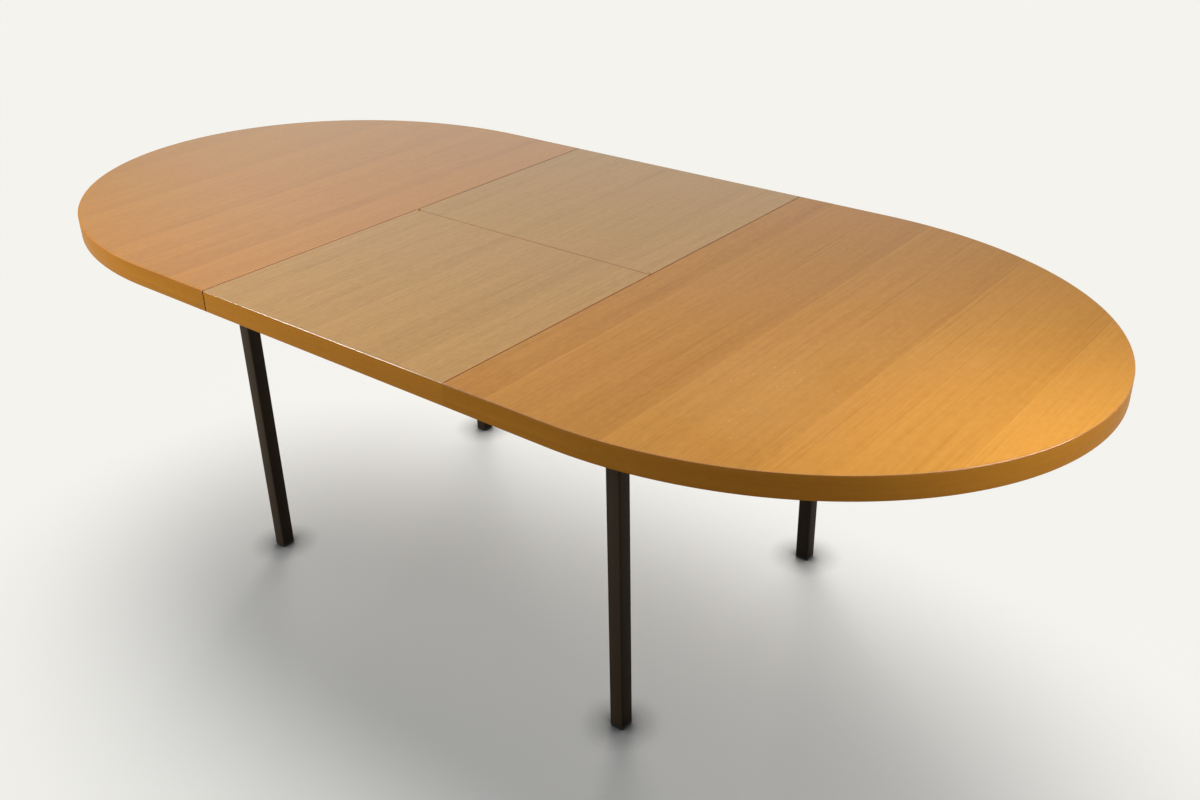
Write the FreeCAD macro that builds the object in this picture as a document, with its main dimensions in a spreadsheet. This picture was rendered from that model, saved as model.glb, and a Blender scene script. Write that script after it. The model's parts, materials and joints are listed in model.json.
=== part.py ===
import FreeCAD, Part
import os
import re
import Sketcher

# Oval extension table, drawn out, with a folding leaf in two panels between its two half tops.
# X runs along the table, Y across it, Z up. The origin is on the floor under the middle of the table.
# All sizes are in millimetres.

document = FreeCAD.newDocument("ExtensionTable")

# Driving dimensions

SIZES = [
    ("table_height", 740.0, "floor to the top face"),
    ("top_width", 1076.8, "width of the top across Y"),
    ("straight_run", 207.0, "straight side of a half, from its joint face to the end curve"),
    ("end_reach", 641.2, "depth of the elliptical end along X"),
    ("board_thickness", 22.0, "veneered board"),
    ("edge_depth", 41.5, "depth of the built-up edge"),
    ("lipping_thickness", 4.0, "solid wood lipping on the edge"),
    ("rim_width", 45.0, "width of the build-up under the edge"),
    ("rim_joint_gap", 0.2, "glue line between two pieces of the build-up"),
    ("arris_radius", 1.4, "rounding of the lipping"),
    ("leaf_length", 611.0, "leaf along X"),
    ("joint_gap", 1.1, "gap between the leaf and each half, with the leaf in the middle"),
    ("leaf_shift", 0.3, "leaf off the middle, closer to the right half"),
    ("seam_gap", 0.6, "gap between the two leaf panels"),
    ("leg_side", 30.0, "square leg tube"),
    ("leg_wall", 2.0, "wall of the leg and rail tubes"),
    ("leg_corner", 3.5, "rounded corner of the leg tube"),
    ("leg_spread_x", 485.7, "middle of the table to a leg's centre along X"),
    ("leg_inset_y", 205.3, "long side of the top to a leg's centre"),
    ("foot_height", 6.0, "foot below the leg tube"),
    ("foot_edge", 3.5, "rounding of the foot"),
    ("plug_length", 18.0, "plug of a foot or pad inside the tube"),
    ("plug_play", 0.1, "gap round a plug"),
    ("pad_height", 6.0, "nylon pad between a leg and the board above it"),
    ("rail_height", 40.0, "rails between the legs"),
    ("guide_setback", 16.7, "leg's centre to the end of a guide along X"),
    ("guide_width", 39.0, "guide channel across Y"),
    ("guide_height", 28.0, "guide channel, floor to lips"),
    ("guide_wall", 2.5, "sheet of the guide channel"),
    ("guide_lip", 7.0, "lip turned in at the mouth of the guide"),
    ("guide_play", 0.5, "gap round a runner in its guide"),
    ("runner_reach", 150.0, "runner past the middle of the table"),
    ("runner_seat", 493.4, "runner under its own half, from the joint face"),
    ("runner_screw_first", 50.0, "joint face to the first runner screw"),
    ("runner_screw_pitch", 140.0, "runner screw to runner screw"),
    ("screw_radius", 2.2, "wood screw shank"),
    ("screw_head_radius", 4.5, "wood screw head"),
    ("screw_head_height", 3.0, "wood screw head"),
    ("screw_bite", 14.0, "wood screw in the board"),
    ("screw_access", 0.5, "gap round a sunk screw head"),
    ("screw_seat", 12.0, "wood between the sunk head and the board"),
    ("over_travel", 60.0, "travel of a half outwards, to release the leaf"),
    ("stop_offset", 40.0, "middle of the table to a stop screw"),
    ("stop_radius", 4.0, "stop screw shank"),
    ("stop_rise", 12.0, "stop screw above the floor of the guide"),
    ("stop_head_radius", 6.5, "stop screw head"),
    ("stop_head_height", 4.0, "stop screw head"),
    ("slot_play", 1.0, "gap round a stop screw in its slot"),
    ("stop_play", 0.3, "gap left between stop screw and slot end at the end of the travel"),
    ("ledge_reach", 25.0, "ledge past the joint face, under the leaf"),
    ("ledge_seat", 45.0, "ledge under its own half"),
    ("ledge_thickness", 12.0, "ledge"),
    ("ledge_length", 80.0, "each ledge of the right half along Y"),
    ("ledge_setback", 9.0, "inner guide to the end of a right ledge"),
    ("ledge_pass", 20.0, "gap between a left and a right ledge when the table is closed"),
    ("ledge_screw_inset", 20.0, "ledge end to its screw"),
    ("cradle_offset", 200.0, "middle of the table to a leaf cradle"),
    ("cradle_width", 40.0, "cradle strap along X"),
    ("cradle_strap", 3.0, "cradle strap thickness"),
    ("cradle_drop", 81.0, "rail to the floor of the cradle"),
    ("cradle_screw_radius", 2.5, "screw from the cradle flange into the rail"),
    ("cradle_head_radius", 5.0, "head of that screw"),
    ("cradle_head_height", 3.0, "head of that screw"),
    ("cradle_screw_bite", 8.0, "that screw inside the rail"),
    ("felt_thickness", 3.0, "felt strip on the cradle"),
    ("felt_inset", 30.0, "cradle wall to the felt"),
    ("hinge_rise", 0.15, "hinge axis above the top face"),
    ("eye_radius", 2.6, "hinge eye"),
    ("pin_radius", 1.3, "hinge pin"),
    ("pin_play", 0.05, "running gap of the pin in the far eye"),
    ("eye_play", 0.1, "gap between the two eyes along the pin"),
    ("knuckle_play", 0.4, "gap round the eyes in the wood"),
    ("strap_length", 48.0, "hinge strap along Y"),
    ("strap_height", 9.0, "hinge strap"),
    ("strap_thickness", 3.0, "hinge strap"),
    ("strap_cover", 4.0, "wood above the strap"),
    ("strap_start", 0.8, "seam to the root of a strap"),
    ("heel_length", 12.0, "thick heel of the far strap"),
    ("hinge_screw_radius", 1.2, "hinge screw shank"),
    ("hinge_screw_head", 2.6, "hinge screw head"),
    ("hinge_screw_sink", 1.6, "depth of the sunk head"),
    ("hinge_screw_length", 18.0, "hinge screw"),
    ("hinge_screw_first", 17.0, "seam to the first hinge screw"),
    ("hinge_screw_pitch", 12.0, "hinge screw to hinge screw"),
]

RUNNER_SCREWS = 4
HINGE_SCREWS = 3
RIM_END_PIECES = 6
HALF_TURN = 180
LEVEL_TOLERANCE = 0.001

sheet = document.addObject("Spreadsheet::Sheet", "Sizes")
value_of = {}
for row, (alias, value, meaning) in enumerate(SIZES, start=1):
    sheet.set(f"A{row}", meaning)
    sheet.set(f"B{row}", str(value))
    sheet.setAlias(f"B{row}", alias)
    value_of[alias] = value
document.recompute()

# Lengths worked out from the driving dimensions

HALF_WIDTH = "top_width / 2"
BOARD_BOTTOM = "(table_height - board_thickness)"
EDGE_BOTTOM = "(table_height - edge_depth)"
JOINT = "(leaf_length / 2 + joint_gap)"
CURVE_CENTRE = f"({JOINT} + straight_run)"
TIP = f"({CURVE_CENTRE} + end_reach)"
FRAME_TOP = f"({BOARD_BOTTOM} - pad_height)"
RAIL_BOTTOM = f"({FRAME_TOP} - rail_height)"
GUIDE_BOTTOM = f"({FRAME_TOP} - guide_height)"
GUIDE_FLOOR = f"({GUIDE_BOTTOM} + guide_wall)"
HALF_LEG = "leg_side / 2"
LEG_Y = "(top_width / 2 - leg_inset_y)"
GUIDE_INNER_Y = f"({LEG_Y} - {HALF_LEG} - guide_width / 2)"
GUIDE_OUTER_Y = f"({LEG_Y} + {HALF_LEG} + guide_width / 2)"
GUIDE_END = "(leg_spread_x - guide_setback)"
RUNNER_END = f"({JOINT} + runner_seat)"
RUNNER_HALF = "(guide_width / 2 - guide_wall - guide_play)"
NECK_HALF = "(guide_width / 2 - guide_wall - guide_lip - guide_play)"
GROOVE_BOTTOM = f"({FRAME_TOP} - guide_wall - guide_play)"
GROOVE_TOP = f"({FRAME_TOP} + guide_play)"
LEAF_LEFT = "(leaf_shift - leaf_length / 2)"
LEAF_RIGHT = "(leaf_shift + leaf_length / 2)"
HINGE_Z = "(table_height + hinge_rise)"
STRAP_TOP = "(table_height - strap_cover)"
STRAP_BOTTOM = "(table_height - strap_cover - strap_height)"

WORD = re.compile(r"[a-z_]{3,}")


def formula(text):
    """Names the sheet in front of each size, as an expression needs it."""
    return WORD.sub(lambda found: "Sizes." + found.group(), text)


def minus(text):
    return f"-({text})"


def bind(piece, prop, text):
    piece.setExpression(prop, formula(text))


def place(piece, point):
    for axis, text in zip("xyz", point):
        bind(piece, f"Placement.Base.{axis}", text)


# Simple solids, each bound to the sheet

TURN_TO = {
    "+X": FreeCAD.Rotation(FreeCAD.Vector(0, 1, 0), 90),
    "-X": FreeCAD.Rotation(FreeCAD.Vector(0, 1, 0), -90),
    "+Z": FreeCAD.Rotation(),
}


def box(name, low, high):
    piece = document.addObject("Part::Box", name)
    for prop, start, end in zip(("Length", "Width", "Height"), low, high):
        bind(piece, prop, f"{end} - ({start})")
    place(piece, low)
    return piece


def rod(name, start, towards, radius, length):
    piece = document.addObject("Part::Cylinder", name)
    bind(piece, "Radius", radius)
    bind(piece, "Height", length)
    piece.Placement.Rotation = TURN_TO[towards]
    place(piece, start)
    return piece


def cone(name, start, towards, first_radius, last_radius, length):
    piece = document.addObject("Part::Cone", name)
    bind(piece, "Radius1", first_radius)
    bind(piece, "Radius2", last_radius)
    bind(piece, "Height", length)
    piece.Placement.Rotation = TURN_TO[towards]
    place(piece, start)
    return piece


def fuse(name, pieces):
    joined = document.addObject("Part::MultiFuse", name)
    joined.Shapes = pieces
    joined.Refine = True
    return joined


def cut(name, base, *tools):
    result = base
    for number, tool in enumerate(tools, start=1):
        step = document.addObject("Part::Cut", f"{name}_cut_{number}")
        step.Base = result
        step.Tool = tool
        result = step
    return result


def common(name, first, second):
    shared = document.addObject("Part::Common", name)
    shared.Base = first
    shared.Tool = second
    return shared


def group(name, pieces):
    bundle = document.addObject("Part::Compound", name)
    bundle.Links = pieces
    return bundle


def mirror(name, source, normal, plane_x="0"):
    twin = document.addObject("Part::Mirroring", name)
    twin.Source = source
    twin.Normal = FreeCAD.Vector(*normal)
    bind(twin, "Base.x", plane_x)
    return twin


ACROSS_X = (1, 0, 0)
ACROSS_Y = (0, 1, 0)


def near_and_far(name, piece):
    return [piece, mirror(f"{name}_twin", piece, ACROSS_Y)]


def at_four_corners(name, piece):
    pair = near_and_far(name, piece)
    others = []
    for number, one in enumerate(pair):
        others.append(mirror(f"{name}_left_{number}", one, ACROSS_X))
    return pair + others


# Pieces made as a drawn section padded to length

def profile_body(name, plane, points, start, length):
    """Pads a closed outline. Each corner of the outline is held by two bound distances."""
    body = document.addObject("PartDesign::Body", name)
    sketch = body.newObject("Sketcher::SketchObject", f"{name}_section")
    origin_plane = [feature for feature in body.Origin.OriginFeatures if feature.Role == plane][0]
    sketch.AttachmentSupport = [(origin_plane, "")]
    sketch.MapMode = "FlatFace"
    corners = [FreeCAD.Vector(number_of(x), number_of(y), 0) for x, y in points]
    for number, corner in enumerate(corners):
        following = corners[(number + 1) % len(corners)]
        sketch.addGeometry(Part.LineSegment(corner, following), False)
    for number in range(len(corners)):
        following = (number + 1) % len(corners)
        sketch.addConstraint(Sketcher.Constraint("Coincident", number, 2, following, 1))
    for number, corner in enumerate(corners):
        for way, kind, distance in (("x", "DistanceX", corner.x), ("y", "DistanceY", corner.y)):
            held = sketch.addConstraint(Sketcher.Constraint(kind, -1, 1, number, 1, distance))
            sketch.renameConstraint(held, f"corner_{number}_{way}")
            text = points[number][0] if way == "x" else points[number][1]
            bind(sketch, f"Constraints.corner_{number}_{way}", text)
    pad = body.newObject("PartDesign::Pad", f"{name}_pad")
    pad.Profile = sketch
    bind(pad, "Length", length)
    body.Tip = pad
    place(body, start)
    return body


def number_of(text):
    """The value of a formula with the sizes as they stand in the sheet."""
    return float(sheet.evalExpression(text))


# Wood screws that stand upright, head below

def wood_screw(name, x, y, seat, length):
    head = rod(f"{name}_head", (x, y, f"{seat} - screw_head_height"), "+Z", "screw_head_radius",
               "screw_head_height")
    shank = rod(f"{name}_shank", (x, y, seat), "+Z", "screw_radius", length)
    return fuse(name, [head, shank])


nodes = []


def keep(label, piece):
    """Names a finished piece of the table."""
    piece.Label = label
    nodes.append(piece)
    return piece


# Outline of a right half, set in by a margin and standing between two heights

def half_outline(name, margin, low, high):
    along = f"(end_reach - ({margin}))"
    across = f"({HALF_WIDTH} - ({margin}))"
    curve = document.addObject("Part::Ellipse", f"{name}_curve")
    if number_of(along) >= number_of(across):
        bind(curve, "MajorRadius", along)
        bind(curve, "MinorRadius", across)
    else:
        bind(curve, "MajorRadius", across)
        bind(curve, "MinorRadius", along)
        curve.Placement.Rotation = FreeCAD.Rotation(FreeCAD.Vector(0, 0, 1), 90)
    place(curve, (CURVE_CENTRE, "0", low))
    end = document.addObject("Part::Extrusion", f"{name}_end")
    end.Base = curve
    end.DirMode = "Custom"
    end.Dir = FreeCAD.Vector(0, 0, 1)
    end.Solid = True
    bind(end, "LengthFwd", f"{high} - ({low})")
    sides = box(f"{name}_sides", (JOINT, minus(across), low), (CURVE_CENTRE, across, high))
    beyond = box(f"{name}_beyond", (CURVE_CENTRE, minus(across), low), (TIP, across, high))
    return fuse(name, [common(f"{name}_cap", end, beyond), sides])


def round_edges(name, base, edge_numbers, radius):
    rounded = document.addObject("Part::Fillet", name)
    rounded.Base = base
    rounded.Edges = [(number, radius, radius) for number in edge_numbers]
    return rounded


# Legs, feet and pads

def leg(label, x, y):
    body = profile_body(f"{label}_blank", "XY_Plane", (
        (minus(HALF_LEG), minus(HALF_LEG)),
        (HALF_LEG, minus(HALF_LEG)),
        (HALF_LEG, HALF_LEG),
        (minus(HALF_LEG), HALF_LEG),
    ), (x, y, "foot_height"), f"{FRAME_TOP} - foot_height")
    document.recompute()
    pad = body.Tip
    upright = []
    for number, edge in enumerate(pad.Shape.Edges, start=1):
        ends = [vertex.Point for vertex in edge.Vertexes]
        if abs(ends[0].z - ends[1].z) > value_of["leg_side"]:
            upright.append(f"Edge{number}")
    corners = body.newObject("PartDesign::Fillet", f"{label}_corners")
    corners.Base = (pad, upright)
    bind(corners, "Radius", "leg_corner")
    body.Tip = corners
    inner = "(leg_side / 2 - leg_wall)"
    hollow = box(f"{label}_hollow", (f"{x} - {inner}", f"{y} - {inner}", "foot_height"),
                 (f"{x} + {inner}", f"{y} + {inner}", FRAME_TOP))
    return keep(label, cut(label, body, hollow))


for end_word, end_sign in (("left", "-"), ("right", "")):
    for side_word, side_sign in (("near", "-"), ("far", "")):
        leg(f"leg_{end_word}_{side_word}", f"{end_sign}leg_spread_x", f"{side_sign}{LEG_Y}")

PLUG_HALF = "(leg_side / 2 - leg_wall - plug_play)"


def plugged_block(name, low, high, plug_low, plug_high):
    """A block as wide as the leg, with a plug that goes into the tube."""
    block = box(f"{name}_block", (f"leg_spread_x - {HALF_LEG}", f"{LEG_Y} - {HALF_LEG}", low),
                (f"leg_spread_x + {HALF_LEG}", f"{LEG_Y} + {HALF_LEG}", high))
    plug = box(f"{name}_plug", (f"leg_spread_x - {PLUG_HALF}", f"{LEG_Y} - {PLUG_HALF}", plug_low),
               (f"leg_spread_x + {PLUG_HALF}", f"{LEG_Y} + {PLUG_HALF}", plug_high))
    return block, plug


foot_block, foot_plug = plugged_block("foot", "0", "foot_height", "foot_height", "foot_height + plug_length")
document.recompute()
foot_edges = []
for number, edge in enumerate(foot_block.Shape.Edges, start=1):
    heights = [vertex.Z for vertex in edge.Vertexes]
    if min(heights) < value_of["foot_height"] / 2:
        foot_edges.append(number)
foot_round = round_edges("foot_round", foot_block, foot_edges, value_of["foot_edge"])
foot = fuse("foot", [foot_round, foot_plug])
keep("foot_glides", group("foot_glides", at_four_corners("foot", foot)))

pad_block, pad_plug = plugged_block("pad", FRAME_TOP, BOARD_BOTTOM, f"{FRAME_TOP} - plug_length", FRAME_TOP)
pad = fuse("pad", [pad_block, pad_plug])
keep("leg_top_pads", group("leg_top_pads", at_four_corners("pad", pad)))


# Rails between the legs

def square_tube(label, low, high, along):
    outer = box(f"{label}_outer", low, high)
    inner_low = []
    inner_high = []
    for axis, start, end in zip("XYZ", low, high):
        wall = "0" if axis == along else "leg_wall"
        inner_low.append(f"{start} + {wall}")
        inner_high.append(f"{end} - {wall}")
    return cut(label, outer, box(f"{label}_inner", inner_low, inner_high))


RAIL_HALF_X = f"(leg_spread_x - {HALF_LEG})"
RAIL_HALF_Y = f"({LEG_Y} - {HALF_LEG})"
END_RAIL_BOTTOM = f"({GUIDE_BOTTOM} - rail_height)"

side_rail_far = square_tube("side_rail_far", (minus(RAIL_HALF_X), RAIL_HALF_Y, RAIL_BOTTOM),
                            (RAIL_HALF_X, f"{LEG_Y} + {HALF_LEG}", FRAME_TOP), "X")
end_rail_right = square_tube("end_rail_right", (RAIL_HALF_X, minus(RAIL_HALF_Y), END_RAIL_BOTTOM),
                             (f"leg_spread_x + {HALF_LEG}", RAIL_HALF_Y, GUIDE_BOTTOM), "Y")


# Leaf cradles: a strap bent into a tray, screwed up into the side rails

CRADLE_FLOOR = f"({RAIL_BOTTOM} - cradle_drop)"
WALL_IN = f"({RAIL_HALF_Y} - cradle_strap)"
FLANGE_OUT = f"({LEG_Y} + {HALF_LEG})"
FLANGE_LOW = f"({RAIL_BOTTOM} - cradle_strap)"
CRADLE_SECTION = (
    (minus(FLANGE_OUT), RAIL_BOTTOM),
    (minus(FLANGE_OUT), FLANGE_LOW),
    (minus(RAIL_HALF_Y), FLANGE_LOW),
    (minus(RAIL_HALF_Y), f"{CRADLE_FLOOR} - cradle_strap"),
    (RAIL_HALF_Y, f"{CRADLE_FLOOR} - cradle_strap"),
    (RAIL_HALF_Y, FLANGE_LOW),
    (FLANGE_OUT, FLANGE_LOW),
    (FLANGE_OUT, RAIL_BOTTOM),
    (WALL_IN, RAIL_BOTTOM),
    (WALL_IN, CRADLE_FLOOR),
    (minus(WALL_IN), CRADLE_FLOOR),
    (minus(WALL_IN), RAIL_BOTTOM),
)

cradle_head = rod("cradle_head", ("cradle_offset", LEG_Y, f"{FLANGE_LOW} - cradle_head_height"),
                  "+Z", "cradle_head_radius", "cradle_head_height")
cradle_shank = rod("cradle_shank", ("cradle_offset", LEG_Y, FLANGE_LOW), "+Z", "cradle_screw_radius",
                   "cradle_strap + cradle_screw_bite")
cradle_screw = fuse("cradle_screw", [cradle_head, cradle_shank])
cradle_screws = group("cradle_screws", at_four_corners("cradle_screw", cradle_screw))
keep("cradle_screws", cradle_screws)

CRADLE_START = "(cradle_offset - cradle_width / 2)"
for end_word, start in (("left", f"-{CRADLE_START} - cradle_width"), ("right", CRADLE_START)):
    label = f"leaf_cradle_{end_word}"
    cradle = profile_body(f"{label}_blank", "YZ_Plane", CRADLE_SECTION, (start, "0", "0"), "cradle_width")
    keep(label, cut(label, cradle, cradle_screws))

felt = box("felt", (CRADLE_START, f"felt_inset - {WALL_IN}", CRADLE_FLOOR),
           (f"{CRADLE_START} + cradle_width", f"{WALL_IN} - felt_inset", f"{CRADLE_FLOOR} + felt_thickness"))
keep("cradle_felts", group("cradle_felts", [felt, mirror("felt_left", felt, ACROSS_X)]))

far_rail = cut("side_rail_far_drilled", side_rail_far, cradle_screws)
near_rail_blank = mirror("side_rail_near_blank", side_rail_far, ACROSS_Y)
near_rail = cut("side_rail_near_drilled", near_rail_blank, cradle_screws)
keep("side_rail_far", far_rail)
keep("side_rail_near", near_rail)
keep("end_rail_right", end_rail_right)
keep("end_rail_left", mirror("end_rail_left", end_rail_right, ACROSS_X))


# Guides, stop screws and runners. The left half runs in the inner guides, the right half in the outer ones.

GUIDE_HALF = "guide_width / 2"
GUIDE_IN = "(guide_width / 2 - guide_wall)"
MOUTH_HALF = "(guide_width / 2 - guide_wall - guide_lip)"
LIP_LOW = f"({FRAME_TOP} - guide_wall)"


def guide_section():
    return (
        (minus(GUIDE_HALF), GUIDE_BOTTOM),
        (GUIDE_HALF, GUIDE_BOTTOM),
        (GUIDE_HALF, FRAME_TOP),
        (MOUTH_HALF, FRAME_TOP),
        (MOUTH_HALF, LIP_LOW),
        (GUIDE_IN, LIP_LOW),
        (GUIDE_IN, GUIDE_FLOOR),
        (minus(GUIDE_IN), GUIDE_FLOOR),
        (minus(GUIDE_IN), LIP_LOW),
        (minus(MOUTH_HALF), LIP_LOW),
        (minus(MOUTH_HALF), FRAME_TOP),
        (minus(GUIDE_HALF), FRAME_TOP),
    )


def runner_section():
    return (
        (minus(RUNNER_HALF), GUIDE_FLOOR),
        (RUNNER_HALF, GUIDE_FLOOR),
        (RUNNER_HALF, GROOVE_BOTTOM),
        (NECK_HALF, GROOVE_BOTTOM),
        (NECK_HALF, GROOVE_TOP),
        (RUNNER_HALF, GROOVE_TOP),
        (RUNNER_HALF, BOARD_BOTTOM),
        (minus(RUNNER_HALF), BOARD_BOTTOM),
        (minus(RUNNER_HALF), GROOVE_TOP),
        (minus(NECK_HALF), GROOVE_TOP),
        (minus(NECK_HALF), GROOVE_BOTTOM),
        (minus(RUNNER_HALF), GROOVE_BOTTOM),
    )


SLOT_HALF = "(stop_radius + slot_play)"
SLOT_TOP = f"({GUIDE_FLOOR} + stop_rise + slot_play)"
SCREW_SEAT = f"({BOARD_BOTTOM} - screw_seat)"


def stop_screw(name, x, y):
    head = rod(f"{name}_head", (x, y, f"{GUIDE_BOTTOM} - stop_head_height"), "+Z", "stop_head_radius",
               "stop_head_height")
    shank = rod(f"{name}_shank", (x, y, GUIDE_BOTTOM), "+Z", "stop_radius", "guide_wall + stop_rise")
    return fuse(name, [head, shank])


def stop_slot(name, outwards, y):
    """Slot under a runner. Its ends meet the stop screw when the half is closed and when it is drawn out."""
    drawn_end = "-stop_offset - over_travel - stop_radius - stop_play"
    closed_end = f"{JOINT} - stop_offset + stop_radius + stop_play"
    low_end, high_end = drawn_end, closed_end
    if outwards == "-":
        low_end, high_end = minus(closed_end), minus(drawn_end)
    return box(name, (low_end, f"{y} - {SLOT_HALF}", GUIDE_FLOOR), (high_end, f"{y} + {SLOT_HALF}", SLOT_TOP))


def slide_set(end_word, outwards, guide_y):
    """Guides, stop screws, runners and runner screws of one half. Returns the screws of both kinds."""
    stops = []
    screws = []
    for side_word, side_sign in (("near", "-"), ("far", "")):
        where = f"{end_word}_{side_word}"
        y = f"{side_sign}{guide_y}"
        inwards = "" if outwards == "-" else "-"
        stop = stop_screw(f"stop_{where}", f"{inwards}stop_offset", y)
        stops.append(stop)
        guide = profile_body(f"guide_{where}_blank", "YZ_Plane", guide_section(), (minus(GUIDE_END), y, "0"),
                             f"{GUIDE_END} * 2")
        keep(f"guide_{where}", cut(f"guide_{where}", guide, stop))
        start = minus(RUNNER_END) if outwards == "-" else "-runner_reach"
        runner = profile_body(f"runner_{where}_blank", "YZ_Plane", runner_section(), (start, y, "0"),
                              f"{RUNNER_END} + runner_reach")
        tools = [stop_slot(f"slot_{where}", outwards, y)]
        for number in range(RUNNER_SCREWS):
            x = f"{outwards}({JOINT} + runner_screw_first + runner_screw_pitch * {number})"
            name = f"runner_screw_{where}_{number}"
            screws.append(wood_screw(name, x, y, SCREW_SEAT, "screw_seat + screw_bite"))
            tools.append(screws[-1])
            tools.append(rod(f"{name}_access", (x, y, GUIDE_FLOOR), "+Z", "screw_head_radius + screw_access",
                             f"{SCREW_SEAT} - {GUIDE_FLOOR}"))
        keep(f"runner_{where}", cut(f"runner_{where}", runner, *tools))
    held = group(f"runner_screws_{end_word}", screws)
    keep(f"runner_screws_{end_word}", held)
    return stops, held


left_stops, left_runner_screws = slide_set("left", "-", GUIDE_INNER_Y)
right_stops, right_runner_screws = slide_set("right", "", GUIDE_OUTER_Y)
keep("stop_screws", group("stop_screws", left_stops + right_stops))


# Ledges under the joint faces, which keep the leaf level with the halves

LEDGE_LOW = f"({BOARD_BOTTOM} - ledge_thickness)"
LEDGE_SCREW_X = f"({JOINT} + ledge_seat / 2)"
LEDGE_OUTER = f"({GUIDE_INNER_Y} - guide_width / 2 - ledge_setback)"
LEDGE_INNER = f"({LEDGE_OUTER} - ledge_length)"
LEDGE_MIDDLE = f"({LEDGE_INNER} - ledge_pass)"

left_ledge_blank = box("left_ledge_blank", (f"-{JOINT} - ledge_seat", minus(LEDGE_MIDDLE), LEDGE_LOW),
                       (f"ledge_reach - {JOINT}", LEDGE_MIDDLE, BOARD_BOTTOM))
left_ledge_screw = wood_screw("left_ledge_screw", minus(LEDGE_SCREW_X), f"{LEDGE_MIDDLE} - ledge_screw_inset",
                              LEDGE_LOW, "ledge_thickness + screw_bite")
left_ledge_screws = group("ledge_screws_left", near_and_far("left_ledge_screw", left_ledge_screw))
keep("ledge_screws_left", left_ledge_screws)
keep("leaf_ledge_left", cut("leaf_ledge_left", left_ledge_blank, left_ledge_screws))

right_ledge_blank = box("right_ledge_blank", (f"{JOINT} - ledge_reach", LEDGE_INNER, LEDGE_LOW),
                        (f"{JOINT} + ledge_seat", LEDGE_OUTER, BOARD_BOTTOM))
right_ledge_screw_pair = []
right_ledge_screw_places = (
    ("inner", f"{LEDGE_INNER} + ledge_screw_inset"),
    ("outer", f"{LEDGE_OUTER} - ledge_screw_inset"),
)
for name, y in right_ledge_screw_places:
    right_ledge_screw_pair.append(wood_screw(f"right_ledge_screw_{name}", LEDGE_SCREW_X, y, LEDGE_LOW,
                                             "ledge_thickness + screw_bite"))
right_ledge = cut("right_ledge", right_ledge_blank, *right_ledge_screw_pair)
right_ledge_screw_set = []
for number, screw in enumerate(right_ledge_screw_pair):
    right_ledge_screw_set += near_and_far(f"right_ledge_screw_{number}", screw)
right_ledge_screws = group("ledge_screws_right", right_ledge_screw_set)
keep("ledge_screws_right", right_ledge_screws)
keep("leaf_ledges_right", group("leaf_ledges_right", near_and_far("right_ledge", right_ledge)))


# Half tops: board, build-up rim in pieces, and lipping round the edge

RIM_INNER = "lipping_thickness + rim_width"
board_right_blank = half_outline("board_right_blank", "lipping_thickness", BOARD_BOTTOM, "table_height")
board_left_blank = mirror("board_left_blank", board_right_blank, ACROSS_X)
keep("top_board_right", cut("top_board_right", board_right_blank, right_runner_screws, right_ledge_screws))
keep("top_board_left", cut("top_board_left", board_left_blank, left_runner_screws, left_ledge_screws))

rim_outer = half_outline("rim_outer", "lipping_thickness", EDGE_BOTTOM, BOARD_BOTTOM)
rim_inner = half_outline("rim_inner", RIM_INNER, EDGE_BOTTOM, BOARD_BOTTOM)
rim_ring = cut("rim_ring", rim_outer, rim_inner)


def rim_saw(name, turn):
    """A thin upright sheet from the middle of the end curve outwards: the joint between two rim pieces."""
    sheet_box = document.addObject("Part::Box", name)
    bind(sheet_box, "Length", "end_reach + top_width")
    bind(sheet_box, "Width", "rim_joint_gap")
    bind(sheet_box, "Height", "edge_depth")
    sheet_box.Placement.Rotation = FreeCAD.Rotation(FreeCAD.Vector(0, 0, 1), turn)
    place(sheet_box, (CURVE_CENTRE, "0", EDGE_BOTTOM))
    return sheet_box


rim_saws = []
for number in range(RIM_END_PIECES + 1):
    rim_saws.append(rim_saw(f"rim_saw_{number}", (number / RIM_END_PIECES - 0.5) * HALF_TURN))
rim_right = cut("edge_rim_right", rim_ring, *rim_saws)
keep("edge_rim_right", rim_right)
keep("edge_rim_left", mirror("edge_rim_left", rim_right, ACROSS_X))

lipping_outer = half_outline("lipping_outer", "0", EDGE_BOTTOM, "table_height")
lipping_inner = half_outline("lipping_inner", "lipping_thickness", EDGE_BOTTOM, "table_height")
lipping_square = cut("lipping_square", lipping_outer, lipping_inner)
document.recompute()


def long_edges_at(shape, height, beyond):
    """Numbers of the edges that lie at one height along the outside of the lipping."""
    found = []
    for number, edge in enumerate(shape.Edges, start=1):
        level = abs(edge.BoundBox.ZMin - height) + abs(edge.BoundBox.ZMax - height) < LEVEL_TOLERANCE
        if level and beyond(edge.valueAt((edge.FirstParameter + edge.LastParameter) / 2)):
            found.append(number)
    return found


def outside_the_board(point):
    half_width = value_of["top_width"] / 2 - value_of["lipping_thickness"] / 2
    reach = value_of["end_reach"] - value_of["lipping_thickness"] / 2
    along = point.x - number_of(CURVE_CENTRE)
    if point.x < number_of(JOINT) + value_of["lipping_thickness"] / 2:
        return False
    if along <= 0:
        return abs(point.y) > half_width
    return (along / reach) ** 2 + (point.y / half_width) ** 2 > 1


arris_edges = []
for height in (value_of["table_height"], value_of["table_height"] - value_of["edge_depth"]):
    arris_edges += long_edges_at(lipping_square.Shape, height, outside_the_board)
lipping_right = round_edges("edge_lipping_right", lipping_square, arris_edges, value_of["arris_radius"])
keep("edge_lipping_right", lipping_right)
keep("edge_lipping_left", mirror("edge_lipping_left", lipping_right, ACROSS_X))


# Leaf hinges: a pair of straps at each end of the seam, let into the end edges of the panels

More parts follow.
